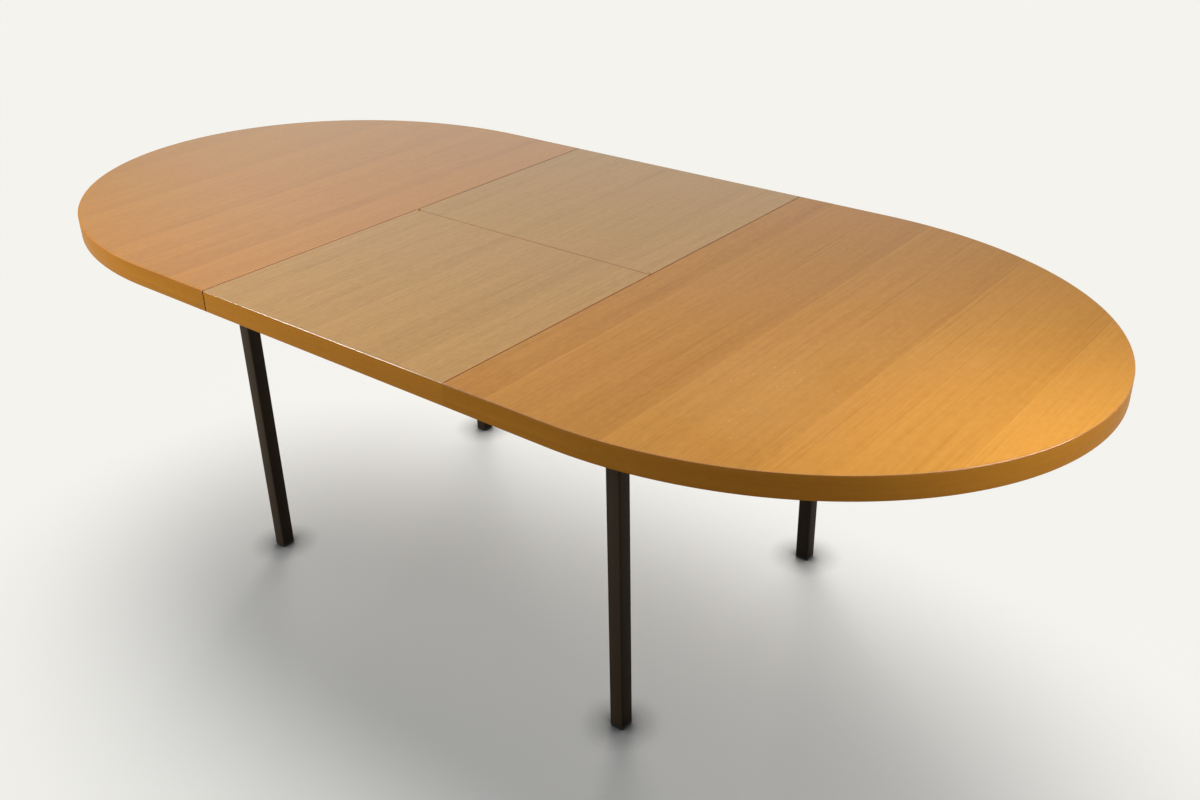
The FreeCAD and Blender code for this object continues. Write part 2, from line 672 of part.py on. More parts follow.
OUTER_LAYER = f"({LEAF_RIGHT} - strap_thickness)"
INNER_TOP = f"({LEAF_RIGHT} - strap_thickness - eye_play)"
INNER_LAYER = f"({LEAF_RIGHT} - strap_thickness * 2 - eye_play)"
FAR_PLATE_START = "(eye_radius + knuckle_play)"
RISER_END = "(strap_start + strap_thickness)"
HINGE_SCREW_Z = f"({STRAP_TOP} - strap_height / 2)"


def at_both_ends(name, piece):
    return [piece, mirror(f"{name}_left", piece, ACROSS_X, "leaf_shift")]


def hinge_screw(name, y):
    head = cone(f"{name}_head", (LEAF_RIGHT, y, HINGE_SCREW_Z), "-X", "hinge_screw_head",
                "hinge_screw_radius", "hinge_screw_sink")
    shank = rod(f"{name}_shank", (f"{LEAF_RIGHT} - hinge_screw_sink", y, HINGE_SCREW_Z), "-X",
                "hinge_screw_radius", "hinge_screw_length - hinge_screw_sink")
    return fuse(name, [head, shank])


def hinge_screw_row(side_word, side_sign):
    screws = []
    for number in range(HINGE_SCREWS):
        y = f"{side_sign}(hinge_screw_first + hinge_screw_pitch * {number})"
        screws.append(hinge_screw(f"hinge_screw_{side_word}_{number}", y))
    return screws


hinge_screws_near = hinge_screw_row("near", "-")
hinge_screws_far = hinge_screw_row("far", "")

near_plate = box("near_plate", (OUTER_LAYER, "-strap_length", STRAP_BOTTOM),
                 (LEAF_RIGHT, "-strap_start", STRAP_TOP))
near_riser = box("near_riser", (OUTER_LAYER, minus(RISER_END), STRAP_BOTTOM),
                 (LEAF_RIGHT, "-strap_start", "table_height"))
near_eye = rod("near_eye", (OUTER_LAYER, "0", HINGE_Z), "+X", "eye_radius", "strap_thickness")
near_hole = rod("near_hole", (OUTER_LAYER, "0", HINGE_Z), "+X", "pin_radius", "strap_thickness")
near_strap = cut("near_strap", fuse("near_strap_solid", [near_plate, near_riser, near_eye]), near_hole,
                 *hinge_screws_near)

far_plate = box("far_plate", (OUTER_LAYER, FAR_PLATE_START, STRAP_BOTTOM),
                (LEAF_RIGHT, "strap_length", STRAP_TOP))
far_heel = box("far_heel", (INNER_LAYER, FAR_PLATE_START, STRAP_BOTTOM),
               (LEAF_RIGHT, "heel_length", STRAP_TOP))
far_riser = box("far_riser", (INNER_LAYER, "strap_start", STRAP_BOTTOM),
                (INNER_TOP, RISER_END, "table_height"))
far_eye = rod("far_eye", (INNER_LAYER, "0", HINGE_Z), "+X", "eye_radius", "strap_thickness")
far_hole = rod("far_hole", (INNER_LAYER, "0", HINGE_Z), "+X", "pin_radius + pin_play", "strap_thickness")
far_strap = cut("far_strap", fuse("far_strap_solid", [far_plate, far_heel, far_riser, far_eye]), far_hole,
                *hinge_screws_far)

hinge_pin = rod("hinge_pin", (INNER_LAYER, "0", HINGE_Z), "+X", "pin_radius",
                "strap_thickness * 2 + eye_play")
knuckle_space = rod("knuckle_space", (f"{INNER_LAYER} - knuckle_play", "0", HINGE_Z), "+X",
                    "eye_radius + knuckle_play", "strap_thickness * 2 + eye_play + knuckle_play")

straps_near = group("hinge_straps_near", at_both_ends("near_strap", near_strap))
straps_far = group("hinge_straps_far", at_both_ends("far_strap", far_strap))
pins = group("hinge_pins", at_both_ends("hinge_pin", hinge_pin))
knuckle_spaces = group("knuckle_spaces", at_both_ends("knuckle_space", knuckle_space))


def all_hinge_screws(side_word, row):
    both = []
    for number, screw in enumerate(row):
        both += at_both_ends(f"hinge_screw_{side_word}_{number}", screw)
    return group(f"hinge_screws_{side_word}", both)


screws_near = all_hinge_screws("near", hinge_screws_near)
screws_far = all_hinge_screws("far", hinge_screws_far)
keep("hinge_straps_near", straps_near)
keep("hinge_straps_far", straps_far)
keep("hinge_pins", pins)
keep("hinge_screws_near", screws_near)
keep("hinge_screws_far", screws_far)


# Leaf panels: board, build-up strip and lipping along the outer edge

BOARD_EDGE = f"({HALF_WIDTH} - lipping_thickness)"
STRIP_EDGE = f"({HALF_WIDTH} - lipping_thickness - rim_width)"

far_board = box("far_board", (LEAF_LEFT, "seam_gap / 2", BOARD_BOTTOM),
                (LEAF_RIGHT, BOARD_EDGE, "table_height"))
near_board = mirror("near_board", far_board, ACROSS_Y)
keep("leaf_board_far", cut("leaf_board_far", far_board, knuckle_spaces, straps_far, screws_far))
keep("leaf_board_near", cut("leaf_board_near", near_board, knuckle_spaces, straps_near, screws_near))

far_strip = box("far_strip", (LEAF_LEFT, STRIP_EDGE, EDGE_BOTTOM), (LEAF_RIGHT, BOARD_EDGE, BOARD_BOTTOM))
keep("leaf_rim_far", far_strip)
keep("leaf_rim_near", mirror("leaf_rim_near", far_strip, ACROSS_Y))

far_lipping_square = box("far_lipping_square", (LEAF_LEFT, BOARD_EDGE, EDGE_BOTTOM),
                         (LEAF_RIGHT, HALF_WIDTH, "table_height"))
document.recompute()


def outside_the_leaf(point):
    return point.y > value_of["top_width"] / 2 - value_of["lipping_thickness"] / 2


leaf_arrises = []
for height in (value_of["table_height"], value_of["table_height"] - value_of["edge_depth"]):
    leaf_arrises += long_edges_at(far_lipping_square.Shape, height, outside_the_leaf)
far_lipping = round_edges("far_lipping", far_lipping_square, leaf_arrises, value_of["arris_radius"])
keep("leaf_lipping_far", far_lipping)
keep("leaf_lipping_near", mirror("leaf_lipping_near", far_lipping, ACROSS_Y))

# Every object is sound before anything is written

document.recompute()
for item in document.Objects:
    if "Invalid" in item.State or "Error" in item.State:
        raise RuntimeError(f"{item.Name} failed: {item.State}")
for piece in nodes:
    if piece.Shape.isNull() or not piece.Shape.isValid() or not piece.Shape.Solids:
        raise RuntimeError(f"{piece.Label} has no sound shape")

os.makedirs("parts", exist_ok=True)
for piece in nodes:
    piece.Shape.exportStep(os.path.join("parts", piece.Label + ".step"))
    print(piece.Label, len(piece.Shape.Solids), "solids", round(piece.Shape.Volume), "mm3")
print(len(nodes), "nodes")
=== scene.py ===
# %% [markdown]
# # An oval extension table, dressed in Blender
#
# The table has two half-oval ends on a steel frame. They slide apart, and a leaf in two hinged panels
# fills the middle. The construction comes from a CAD model, which stays fixed here. Its proportions were
# worked out from a photograph. This lesson gives the table its looks: smooth veneered tops and edges,
# lacquer, painted steel, and a plain studio around it.

# %% Load the CAD model
import json
import math

import bmesh
import bpy
from mathutils import Matrix, Vector


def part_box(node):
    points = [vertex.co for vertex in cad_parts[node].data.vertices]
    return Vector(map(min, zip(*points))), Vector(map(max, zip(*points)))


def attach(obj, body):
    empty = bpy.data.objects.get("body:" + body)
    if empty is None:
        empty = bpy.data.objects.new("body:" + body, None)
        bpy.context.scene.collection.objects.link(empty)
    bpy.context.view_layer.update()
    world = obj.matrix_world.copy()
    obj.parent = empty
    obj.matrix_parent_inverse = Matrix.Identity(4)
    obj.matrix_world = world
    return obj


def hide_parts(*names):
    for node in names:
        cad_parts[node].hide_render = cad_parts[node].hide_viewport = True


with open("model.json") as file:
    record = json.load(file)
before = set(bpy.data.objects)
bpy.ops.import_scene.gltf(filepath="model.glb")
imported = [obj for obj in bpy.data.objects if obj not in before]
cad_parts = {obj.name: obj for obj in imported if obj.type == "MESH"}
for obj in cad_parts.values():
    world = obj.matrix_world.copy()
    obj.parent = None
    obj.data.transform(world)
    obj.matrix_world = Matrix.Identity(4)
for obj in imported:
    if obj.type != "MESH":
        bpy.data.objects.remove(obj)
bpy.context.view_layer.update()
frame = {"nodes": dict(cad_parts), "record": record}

# %% [markdown]
# ## Camera
#
# The photograph was taken at a standing person's eye height, about two and a half metres from the middle
# of the top, looking down by 28 degrees. Place, turn and lens were worked out from the table's outline,
# joints and feet. A camera could be aimed with a constraint, but three plain turns keep the small tilt of
# the picture.

# %% Set up the camera
CAMERA_PLACE = Vector((1.5614, -1.6989, 1.6117))
CAMERA_TURN = math.radians(39.104)
CAMERA_DOWN = math.radians(28.178)
CAMERA_TILT = math.radians(-1.209)
SENSOR_WIDTH = 36.0
LENS = 37.107

camera_data = bpy.data.cameras.new("photo_camera")
camera_data.sensor_width = SENSOR_WIDTH
camera_data.lens = LENS
camera = bpy.data.objects.new("photo_camera", camera_data)
bpy.context.scene.collection.objects.link(camera)
turn = Matrix.Rotation(CAMERA_TURN, 4, "Z")
look_down = Matrix.Rotation(math.pi / 2 - CAMERA_DOWN, 4, "X")
tilt = Matrix.Rotation(CAMERA_TILT, 4, "Z")
camera.matrix_world = Matrix.Translation(CAMERA_PLACE) @ turn @ look_down @ tilt
bpy.context.scene.camera = camera
bpy.context.scene.view_settings.view_transform = "Standard"
print("camera", round(CAMERA_PLACE.length, 2), "m from the middle of the floor")

# %% [markdown]
# ## Small helpers for node trees
#
# Every finish below is a tree of shader nodes. Clicking nodes together by hand is the usual way. In a
# script the same few moves come back all the time, so each gets a short function: add a node, connect or
# set a socket, calculate with numbers, fade between two values, mix two colours, draw noise, and make a
# group, a material or a bump.

# %% Helpers that add and connect nodes
def add_node(tree, kind, **settings):
    node = tree.nodes.new(kind)
    for name, value in settings.items():
        setattr(node, name, value)
    return node


def connect(tree, value, socket):
    """Links an output to the socket, or sets the socket to a plain number, vector or colour."""
    if isinstance(value, bpy.types.NodeSocket):
        tree.links.new(value, socket)
    else:
        socket.default_value = value


def calculate(tree, operation, first, second=0.0):
    node = add_node(tree, "ShaderNodeMath", operation=operation)
    connect(tree, first, node.inputs[0])
    connect(tree, second, node.inputs[1])
    return node.outputs[0]


def times(tree, first, second):
    return calculate(tree, "MULTIPLY", first, second)


def fade(tree, value, start, end, low=0.0, high=1.0):
    """Runs smoothly from low at start to high at end."""
    node = add_node(tree, "ShaderNodeMapRange", interpolation_type="SMOOTHSTEP")
    for place, number in enumerate((value, start, end, low, high)):
        connect(tree, number, node.inputs[place])
    return node.outputs[0]


def mix_colours(tree, share, first, second, blend="MIX"):
    node = add_node(tree, "ShaderNodeMix", data_type="RGBA", blend_type=blend)
    connect(tree, share, node.inputs["Factor"])
    connect(tree, first, node.inputs[6])
    connect(tree, second, node.inputs[7])
    return node.outputs[2]


def split(tree, vector):
    node = add_node(tree, "ShaderNodeSeparateXYZ")
    connect(tree, vector, node.inputs[0])
    return node.outputs


def total(tree, *values):
    """Adds up any number of values."""
    result = values[0]
    for value in values[1:]:
        result = calculate(tree, "ADD", result, value)
    return result


def noise(tree, across, along, layer, detail=2.0):
    """Noise whose cells are one unit wide in each direction. The result lies around a half."""
    place = add_node(tree, "ShaderNodeCombineXYZ")
    for number, value in enumerate((across, along, layer)):
        connect(tree, value, place.inputs[number])
    cloud = add_node(tree, "ShaderNodeTexNoise")
    connect(tree, place.outputs[0], cloud.inputs["Vector"])
    cloud.inputs["Scale"].default_value = 1.0
    cloud.inputs["Detail"].default_value = detail
    return cloud.outputs[0]


def background_rays(tree):
    """One for rays from the camera, from gloss and through glass, nought for all others."""
    rays = add_node(tree, "ShaderNodeLightPath").outputs
    seen = calculate(tree, "MAXIMUM", rays["Is Camera Ray"], rays["Is Glossy Ray"])
    return calculate(tree, "MAXIMUM", seen, rays["Is Transmission Ray"])


def new_group(name, inputs, outputs):
    """A shader node group. Its input called Vector is a vector, all other sockets are numbers."""
    tree = bpy.data.node_groups.new(name, "ShaderNodeTree")
    for socket in inputs:
        kind = "NodeSocketVector" if socket == "Vector" else "NodeSocketFloat"
        tree.interface.new_socket(name=socket, in_out="INPUT", socket_type=kind)
    for socket in outputs:
        tree.interface.new_socket(name=socket, in_out="OUTPUT", socket_type="NodeSocketFloat")
    return tree, add_node(tree, "NodeGroupInput"), add_node(tree, "NodeGroupOutput")


def place_group(tree, group, **values):
    """Puts a group into a material. The names of the values are the sockets, with _ for a space."""
    node = add_node(tree, "ShaderNodeGroup", node_tree=group)
    for name, value in values.items():
        connect(tree, value, node.inputs[name.replace("_", " ")])
    return node


def new_material(name):
    """A material with an empty Principled shader. Returns the material, its tree and the shader."""
    material = bpy.data.materials.new(name)
    material.use_nodes = True
    tree = material.node_tree
    shader = tree.nodes["Principled BSDF"]
    return material, tree, shader


def bump(tree, shader, height, depth):
    """Raises the surface by height times depth, in metres."""
    node = add_node(tree, "ShaderNodeBump")
    connect(tree, height, node.inputs["Height"])
    node.inputs["Distance"].default_value = depth
    connect(tree, node.outputs[0], shader.inputs["Normal"])


print("node helpers ready")

# %% [markdown]
# ## Floor
#
# The table stands on a pale studio sweep without a visible edge. A white floor lit by lamps alone would be
# uneven, so the lit floor gets a cool glow for the camera, which lifts and tints the shadow, and further
# out it fades to the backdrop colour. The fade is an oval round the shadow, longer along the table. Close
# to the feet little light gets in, and an ambient occlusion node paints that shade into the floor's colour
# and into both glows. From below the floor lets everything through, so that the underside of the table
# can be looked at.

# %% Make the floor
BACKDROP = (0.905, 0.896, 0.855, 1.0)
FLOOR_HALF = 12.0
FLOOR_TONE = (0.875, 0.849, 0.802, 1.0)
SHADOW_TONE = (0.79, 0.905, 0.965, 1.0)
FLOOR_GLOW = 0.21
FLOOR_ROUGHNESS = 0.32
FLOOR_SPECULAR = 0.25
BLACK = (0.0, 0.0, 0.0, 1.0)
FADE_CENTRE = (0.26, -0.29, 0.0)
FADE_OVAL = 1.7
FADE_START = 0.26
FADE_END = 1.38
CONTACT_REACH = 0.07
CONTACT_POWER = 3.0

floor_mesh = bmesh.new()
bmesh.ops.create_grid(floor_mesh, x_segments=1, y_segments=1, size=FLOOR_HALF)
floor_data = bpy.data.meshes.new("studio_floor")
floor_mesh.to_mesh(floor_data)
floor_mesh.free()
floor = bpy.data.objects.new("studio_floor", floor_data)
bpy.context.scene.collection.objects.link(floor)

floor_material, tree, shader = new_material("studio_floor")
shader.inputs["Roughness"].default_value = FLOOR_ROUGHNESS
shader.inputs["Specular IOR Level"].default_value = FLOOR_SPECULAR
# Painted shade: ambient occlusion darkens the floor's colour and both glows near the feet.
nearness = add_node(tree, "ShaderNodeAmbientOcclusion")
nearness.inputs["Distance"].default_value = CONTACT_REACH
painted_feet_shade = calculate(tree, "POWER", nearness.outputs["AO"], CONTACT_POWER)
connect(tree, mix_colours(tree, painted_feet_shade, BLACK, FLOOR_TONE), shader.inputs["Base Color"])
position = add_node(tree, "ShaderNodeTexCoord").outputs["Object"]
from_centre = add_node(tree, "ShaderNodeVectorMath", operation="SUBTRACT")
connect(tree, position, from_centre.inputs[0])
from_centre.inputs[1].default_value = FADE_CENTRE
squeezed = add_node(tree, "ShaderNodeVectorMath", operation="MULTIPLY")
connect(tree, from_centre.outputs[0], squeezed.inputs[0])
squeezed.inputs[1].default_value = (1 / FADE_OVAL, 1.0, 1.0)
distance = add_node(tree, "ShaderNodeVectorMath", operation="LENGTH")
connect(tree, squeezed.outputs[0], distance.inputs[0])
far_share = fade(tree, distance.outputs["Value"], FADE_START, FADE_END)
seen = background_rays(tree)
near_glow = add_node(tree, "ShaderNodeEmission")
near_glow.inputs["Color"].default_value = SHADOW_TONE
glow = times(tree, painted_feet_shade, FLOOR_GLOW)
connect(tree, times(tree, seen, glow), near_glow.inputs["Strength"])
near_floor = add_node(tree, "ShaderNodeAddShader")
connect(tree, shader.outputs[0], near_floor.inputs[0])
connect(tree, near_glow.outputs[0], near_floor.inputs[1])
far_floor = add_node(tree, "ShaderNodeEmission")
far_floor.inputs["Color"].default_value = BACKDROP
connect(tree, painted_feet_shade, far_floor.inputs["Strength"])
floor_mix = add_node(tree, "ShaderNodeMixShader")
connect(tree, times(tree, far_share, seen), floor_mix.inputs[0])
connect(tree, near_floor.outputs[0], floor_mix.inputs[1])
connect(tree, far_floor.outputs[0], floor_mix.inputs[2])
from_below = add_node(tree, "ShaderNodeNewGeometry").outputs["Backfacing"]
one_sided = add_node(tree, "ShaderNodeMixShader")
connect(tree, from_below, one_sided.inputs[0])
connect(tree, floor_mix.outputs[0], one_sided.inputs[1])
connect(tree, add_node(tree, "ShaderNodeBsdfTransparent").outputs[0], one_sided.inputs[2])
connect(tree, one_sided.outputs[0], tree.nodes["Material Output"].inputs["Surface"])
floor_data.materials.append(floor_material)
print("floor", 2 * FLOOR_HALF, "m wide")

# %% [markdown]
# ## Studio light
#
# The picture shows its lamps by their traces. The shadow lies softly to the front right of the table, so
# the main lamp is large and stands far away at the back left. The legs throw longer and thinner streaks,
# which come here from a second, low lamp on the same side that lights the floor alone. The near edge is
# bright at the left, darkest right of the middle, and bright again at the right end. That fits a softbox
# at the front left, one over the right end, two low ones beyond it, and a weak one above the front. A
# strip beyond the right end shows in gloss only. Light linking keeps the softboxes off the floor, as a
# studio does with flags, because the picture has one main shadow, and keeps some of them off the legs. One
# lamp for everything would be simpler, but it would leave neither an even floor nor the dark stretch of
# the edge. The lacquer mirrors a pale backdrop of limited width under a darker ceiling.

# %% Make the softboxes
def softbox(name, place, aim, size, power):
    """A soft rectangular lamp that the camera doesn't see, in metres and watts."""
    lamp = bpy.data.lights.new(name, "AREA")
    lamp.shape = "RECTANGLE"
    lamp.size, lamp.size_y = size
    lamp.energy = power
    box = bpy.data.objects.new(name, lamp)
    bpy.context.scene.collection.objects.link(box)
    box.location = place
    box.rotation_euler = (Vector(aim) - Vector(place)).to_track_quat("-Z", "Y").to_euler()
    box.visible_camera = False
    return box


left_softbox = softbox("left_softbox", (-1.25, -1.6, 1.35), (-0.6, -0.4, 0.7), size=(0.6, 0.6), power=29.0)
over_softbox = softbox("over_softbox", (1.25, -0.2, 1.25), (1.25, -0.2, 0.7), size=(0.35, 0.35), power=4.1)
side_softbox = softbox("side_softbox", (2.6, -0.5, 0.95), (1.1, 0.0, 0.72), size=(0.5, 0.5), power=6.8)
tip_softbox = softbox("tip_softbox", (2.6, 0.85, 0.97), (1.1, 0.0, 0.72), size=(0.5, 0.5), power=21.0)
front_softbox = softbox("front_softbox", (0.15, -0.9, 2.0), (0.15, -0.4, 0.7), size=(0.6, 0.6), power=5.5)
for box in (over_softbox, side_softbox, tip_softbox, front_softbox):
    box.visible_glossy = False
glint_strip = softbox("glint_strip", (2.76, 0.05, 1.30), (1.08, -0.25, 0.74), size=(1.8, 0.3), power=54.0)
glint_strip.visible_diffuse = False
softboxes = (left_softbox, over_softbox, side_softbox, tip_softbox, front_softbox, glint_strip)
print("softboxes", [box.name for box in softboxes])

# %% Make the far lamp that throws the shadow
FAR_TURN = math.radians(130.0)
FAR_HEIGHT = math.radians(58.0)
FAR_WIDTH = math.radians(44.0)
FAR_STRENGTH = 2.2


def distant_lamp(name, turned, raised, width, strength):
    """A lamp so far away that its light comes in parallel, from a disc as wide as the angle."""
    lamp = bpy.data.lights.new(name, "SUN")
    lamp.energy = strength
    lamp.angle = width
    light = bpy.data.objects.new(name, lamp)
    bpy.context.scene.collection.objects.link(light)
    flat = math.cos(raised)
    towards_lamp = Vector((flat * math.cos(turned), flat * math.sin(turned), math.sin(raised)))
    light.rotation_euler = towards_lamp.to_track_quat("Z", "Y").to_euler()
    light.visible_glossy = False
    return light


distant_lamp("far_lamp", FAR_TURN, FAR_HEIGHT, FAR_WIDTH, FAR_STRENGTH)
print("far lamp stands", round(math.degrees(FAR_HEIGHT)), "degrees above the floor")

# %% Make the low lamp that throws the shadows of the legs
LOW_TURN = math.radians(129.0)
LOW_HEIGHT = math.radians(20.0)
LOW_WIDTH = math.radians(28.0)
LOW_STRENGTH = 1.25

low_light = distant_lamp("low_lamp", LOW_TURN, LOW_HEIGHT, LOW_WIDTH, LOW_STRENGTH)
floor_only = bpy.data.collections.new("lit_by_the_low_lamp")
floor_only.objects.link(floor)
low_light.light_linking.receiver_collection = floor_only

# %% Keep the front softbox off the floor
def keep_dark(name, objects, lamps):
    """Light linking: the lamps light everything except these objects."""
    unlit = bpy.data.collections.new(name)
    for thing in objects:
        unlit.objects.link(thing)
    for member in unlit.collection_objects:
        member.light_linking.link_state = "EXCLUDE"
    for lamp in lamps:
        lamp.light_linking.receiver_collection = unlit
    print(name, [thing.name for thing in objects])


keep_dark("not_lit_from_the_front", [floor], (front_softbox,))

# %% Make the pale room
ROOM_DIFFUSE = 0.15
CEILING = 0.12
LOW_SIGHT = math.sin(math.radians(13.0))
HIGH_SIGHT = math.sin(math.radians(36.0))
SCREEN_TURN = math.radians(130.0)
SCREEN_FULL = math.cos(math.radians(13.0))
SCREEN_ENDS = math.cos(math.radians(26.0))
BESIDE_SCREEN = 0.45

room = bpy.data.worlds.new("pale_room")
room.use_nodes = True
bpy.context.scene.world = room
tree = room.node_tree
rays = add_node(tree, "ShaderNodeLightPath").outputs
straight = calculate(tree, "MAXIMUM", rays["Is Camera Ray"], rays["Is Transmission Ray"])
direction = add_node(tree, "ShaderNodeTexCoord").outputs["Generated"]
upwards = split(tree, direction)[2]
flat = add_node(tree, "ShaderNodeVectorMath", operation="MULTIPLY")
connect(tree, direction, flat.inputs[0])
flat.inputs[1].default_value = (1.0, 1.0, 0.0)
level_direction = add_node(tree, "ShaderNodeVectorMath", operation="NORMALIZE")
connect(tree, flat.outputs[0], level_direction.inputs[0])
to_screen = add_node(tree, "ShaderNodeVectorMath", operation="DOT_PRODUCT")
connect(tree, level_direction.outputs[0], to_screen.inputs[0])
to_screen.inputs[1].default_value = (math.cos(SCREEN_TURN), math.sin(SCREEN_TURN), 0.0)
sideways = fade(tree, to_screen.outputs["Value"], SCREEN_ENDS, SCREEN_FULL, BESIDE_SCREEN, 1.0)
backdrop_share = fade(tree, upwards, LOW_SIGHT, HIGH_SIGHT, 1.0, CEILING)
backdrop_share = times(tree, backdrop_share, sideways)
mirrored = times(tree, rays["Is Glossy Ray"], backdrop_share)
background = calculate(tree, "MAXIMUM", straight, mirrored)
room_light = tree.nodes["Background"]
room_light.inputs["Color"].default_value = BACKDROP
connect(tree, calculate(tree, "MAXIMUM", background, ROOM_DIFFUSE), room_light.inputs["Strength"])
print("lamps", [lamp.name for lamp in bpy.data.lights])

# %% [markdown]
# ## Grain of the wood
#
# The top is covered with thin sheets of straight-grained wood, cut one after another from one block and
# laid side by side without turning them over. So the same streaks come back in each sheet, a little
# changed. A picture of wood would do for one view only. Here the pattern is worked out: a first group
# finds the sheet and the place in it, and a second one draws the streaks at three widths from long thin
# noise.

# %% Group: which veneer sheet a point lies on
SHEET_SLIP = 0.037
JOINT_CORE = 0.0002
JOINT_END = 0.0011


def make_sheet_group():
    tree, given, result = new_group(
        "Veneer sheets",
        ("Vector", "Sheet Width", "First Joint"),
        ("Across", "Along", "Sheet", "Place", "Joint"),
    )
    x, y = split(tree, given.outputs["Vector"])[:2]
    count = calculate(tree, "SUBTRACT", x, given.outputs["First Joint"])
    count = calculate(tree, "DIVIDE", count, given.outputs["Sheet Width"])
    sheet = calculate(tree, "FLOOR", count)
    place = calculate(tree, "FRACT", count)
    across = times(tree, place, given.outputs["Sheet Width"])
    slip = times(tree, sheet, SHEET_SLIP)
    to_joint = calculate(tree, "MINIMUM", place, calculate(tree, "SUBTRACT", 1.0, place))
    to_joint = times(tree, to_joint, given.outputs["Sheet Width"])
    connect(tree, across, result.inputs["Across"])
    connect(tree, total(tree, y, slip), result.inputs["Along"])
    connect(tree, sheet, result.inputs["Sheet"])
    connect(tree, place, result.inputs["Place"])
    connect(tree, fade(tree, to_joint, JOINT_CORE, JOINT_END, 1.0, 0.0), result.inputs["Joint"])
    return tree


veneer_sheets = make_sheet_group()
print("group", veneer_sheets.name)

# %% Group: straight streaks at three widths, mottle and pores
DRIFTS_PER_METRE = 6.0
DRIFT_WIDTH = 0.012


def make_grain_group():
    tree, given, result = new_group(
        "Straight grain",
        ("Across", "Along", "Sheet"),
        ("Broad", "Fine", "Hair", "Mottle", "Pores"),
    )
    across = given.outputs["Across"]
    along = given.outputs["Along"]
    sheet = given.outputs["Sheet"]
    drift = noise(tree, times(tree, across, DRIFTS_PER_METRE), along, sheet)
    drift = times(tree, calculate(tree, "SUBTRACT", drift, 0.5), DRIFT_WIDTH)
    across = total(tree, across, drift)

    def streaks(width, length, change, detail):
        """Noise stretched along the grain. A sheet differs from its neighbour by change."""
        return noise(
            tree,
            calculate(tree, "DIVIDE", across, width),
            calculate(tree, "DIVIDE", along, length),
            times(tree, sheet, change),
            detail,
        )

    connect(tree, streaks(width=0.030, length=1.3, change=0.25, detail=2.0), result.inputs["Broad"])
    connect(tree, streaks(width=0.005, length=0.55, change=0.45, detail=3.0), result.inputs["Fine"])
    connect(tree, streaks(width=0.0018, length=0.13, change=0.8, detail=2.0), result.inputs["Hair"])
    connect(tree, streaks(width=0.008, length=0.016, change=1.7, detail=3.0), result.inputs["Mottle"])
    dashes = streaks(width=0.0007, length=0.012, change=1.3, detail=1.0)
    connect(tree, fade(tree, dashes, 0.60, 0.72), result.inputs["Pores"])
    return tree


straight_grain = make_grain_group()
print("group", straight_grain.name)

# %% [markdown]
# ## Marks of use
#
# Years of meals leave small pale specks, a few dark spots and fine scratches in the lacquer. They could be
# modelled as dents, but they are shallower than a hair, so a group of masks is enough. Cells of a Voronoi
# pattern hold the specks, and only some cells get one.

# %% Group: specks and scratches
RUBBED_PER_METRE = 3.0
SCRATCH_SLANT = 0.35
SCRATCHES_ALONG = 9.0
SCRATCHES_ACROSS = 700.0
DOT_CORE = 0.4


def make_wear_group():
    tree, given, result = new_group(
        "Marks of use", ("Vector", "Amount"), ("Specks", "Spots", "Scratches", "Rubbed")
    )
    vector = given.outputs["Vector"]
    x, y = split(tree, vector)[:2]

    def dots(scale, share, size):
        """Round dots in a share of the cells."""
        cells = add_node(tree, "ShaderNodeTexVoronoi")
        connect(tree, vector, cells.inputs["Vector"])
        cells.inputs["Scale"].default_value = scale
        chance = add_node(tree, "ShaderNodeSeparateColor")
        connect(tree, cells.outputs["Color"], chance.inputs[0])
        picked = calculate(tree, "LESS_THAN", chance.outputs[0], share)
        edge = times(tree, chance.outputs[1], size)
        dot = fade(tree, cells.outputs["Distance"], edge, times(tree, edge, DOT_CORE))
        return times(tree, dot, picked)

    region_x = times(tree, x, RUBBED_PER_METRE)
    region_y = times(tree, y, RUBBED_PER_METRE)
    region = noise(tree, region_x, region_y, layer=4.2)
    rubbed = fade(tree, region, 0.48, 0.68)
    amount = given.outputs["Amount"]
    specks = times(tree, dots(scale=75.0, share=0.5, size=0.24), fade(tree, region, 0.42, 0.62))
    connect(tree, times(tree, specks, amount), result.inputs["Specks"])
    spots = dots(scale=9.0, share=0.08, size=0.03)
    connect(tree, times(tree, spots, amount), result.inputs["Spots"])
    along = total(tree, x, times(tree, y, SCRATCH_SLANT))
    across = calculate(tree, "SUBTRACT", y, times(tree, x, SCRATCH_SLANT))
    lines = noise(
        tree,
        times(tree, along, SCRATCHES_ALONG),
        times(tree, across, SCRATCHES_ACROSS),
        layer=1.7,
        detail=1.0,
    )
    scratches = times(tree, fade(tree, lines, 0.70, 0.78), rubbed)
    connect(tree, times(tree, scratches, amount), result.inputs["Scratches"])
    connect(tree, times(tree, rubbed, amount), result.inputs["Rubbed"])
    return tree


marks_of_use = make_wear_group()
print("group", marks_of_use.name)

# %% [markdown]
# ## Lacquer
#
# A satin lacquer lies over the faces of the top. It isn't quite even: it is a little duller where hands
# rub it, and it follows the pores. One group gives the roughness and a height. The oiled edge bands use it
# too, with a duller base.

# %% Group: satin lacquer
LACQUER_ROUGHNESS = 0.20
LACQUER_DEPTH = 0.00004
UNEVEN = 0.06
DULLED = 0.03
RIPPLE_SHARE = 0.3
CLOUDS_PER_METRE = 14.0
RIPPLES_PER_METRE = 260.0


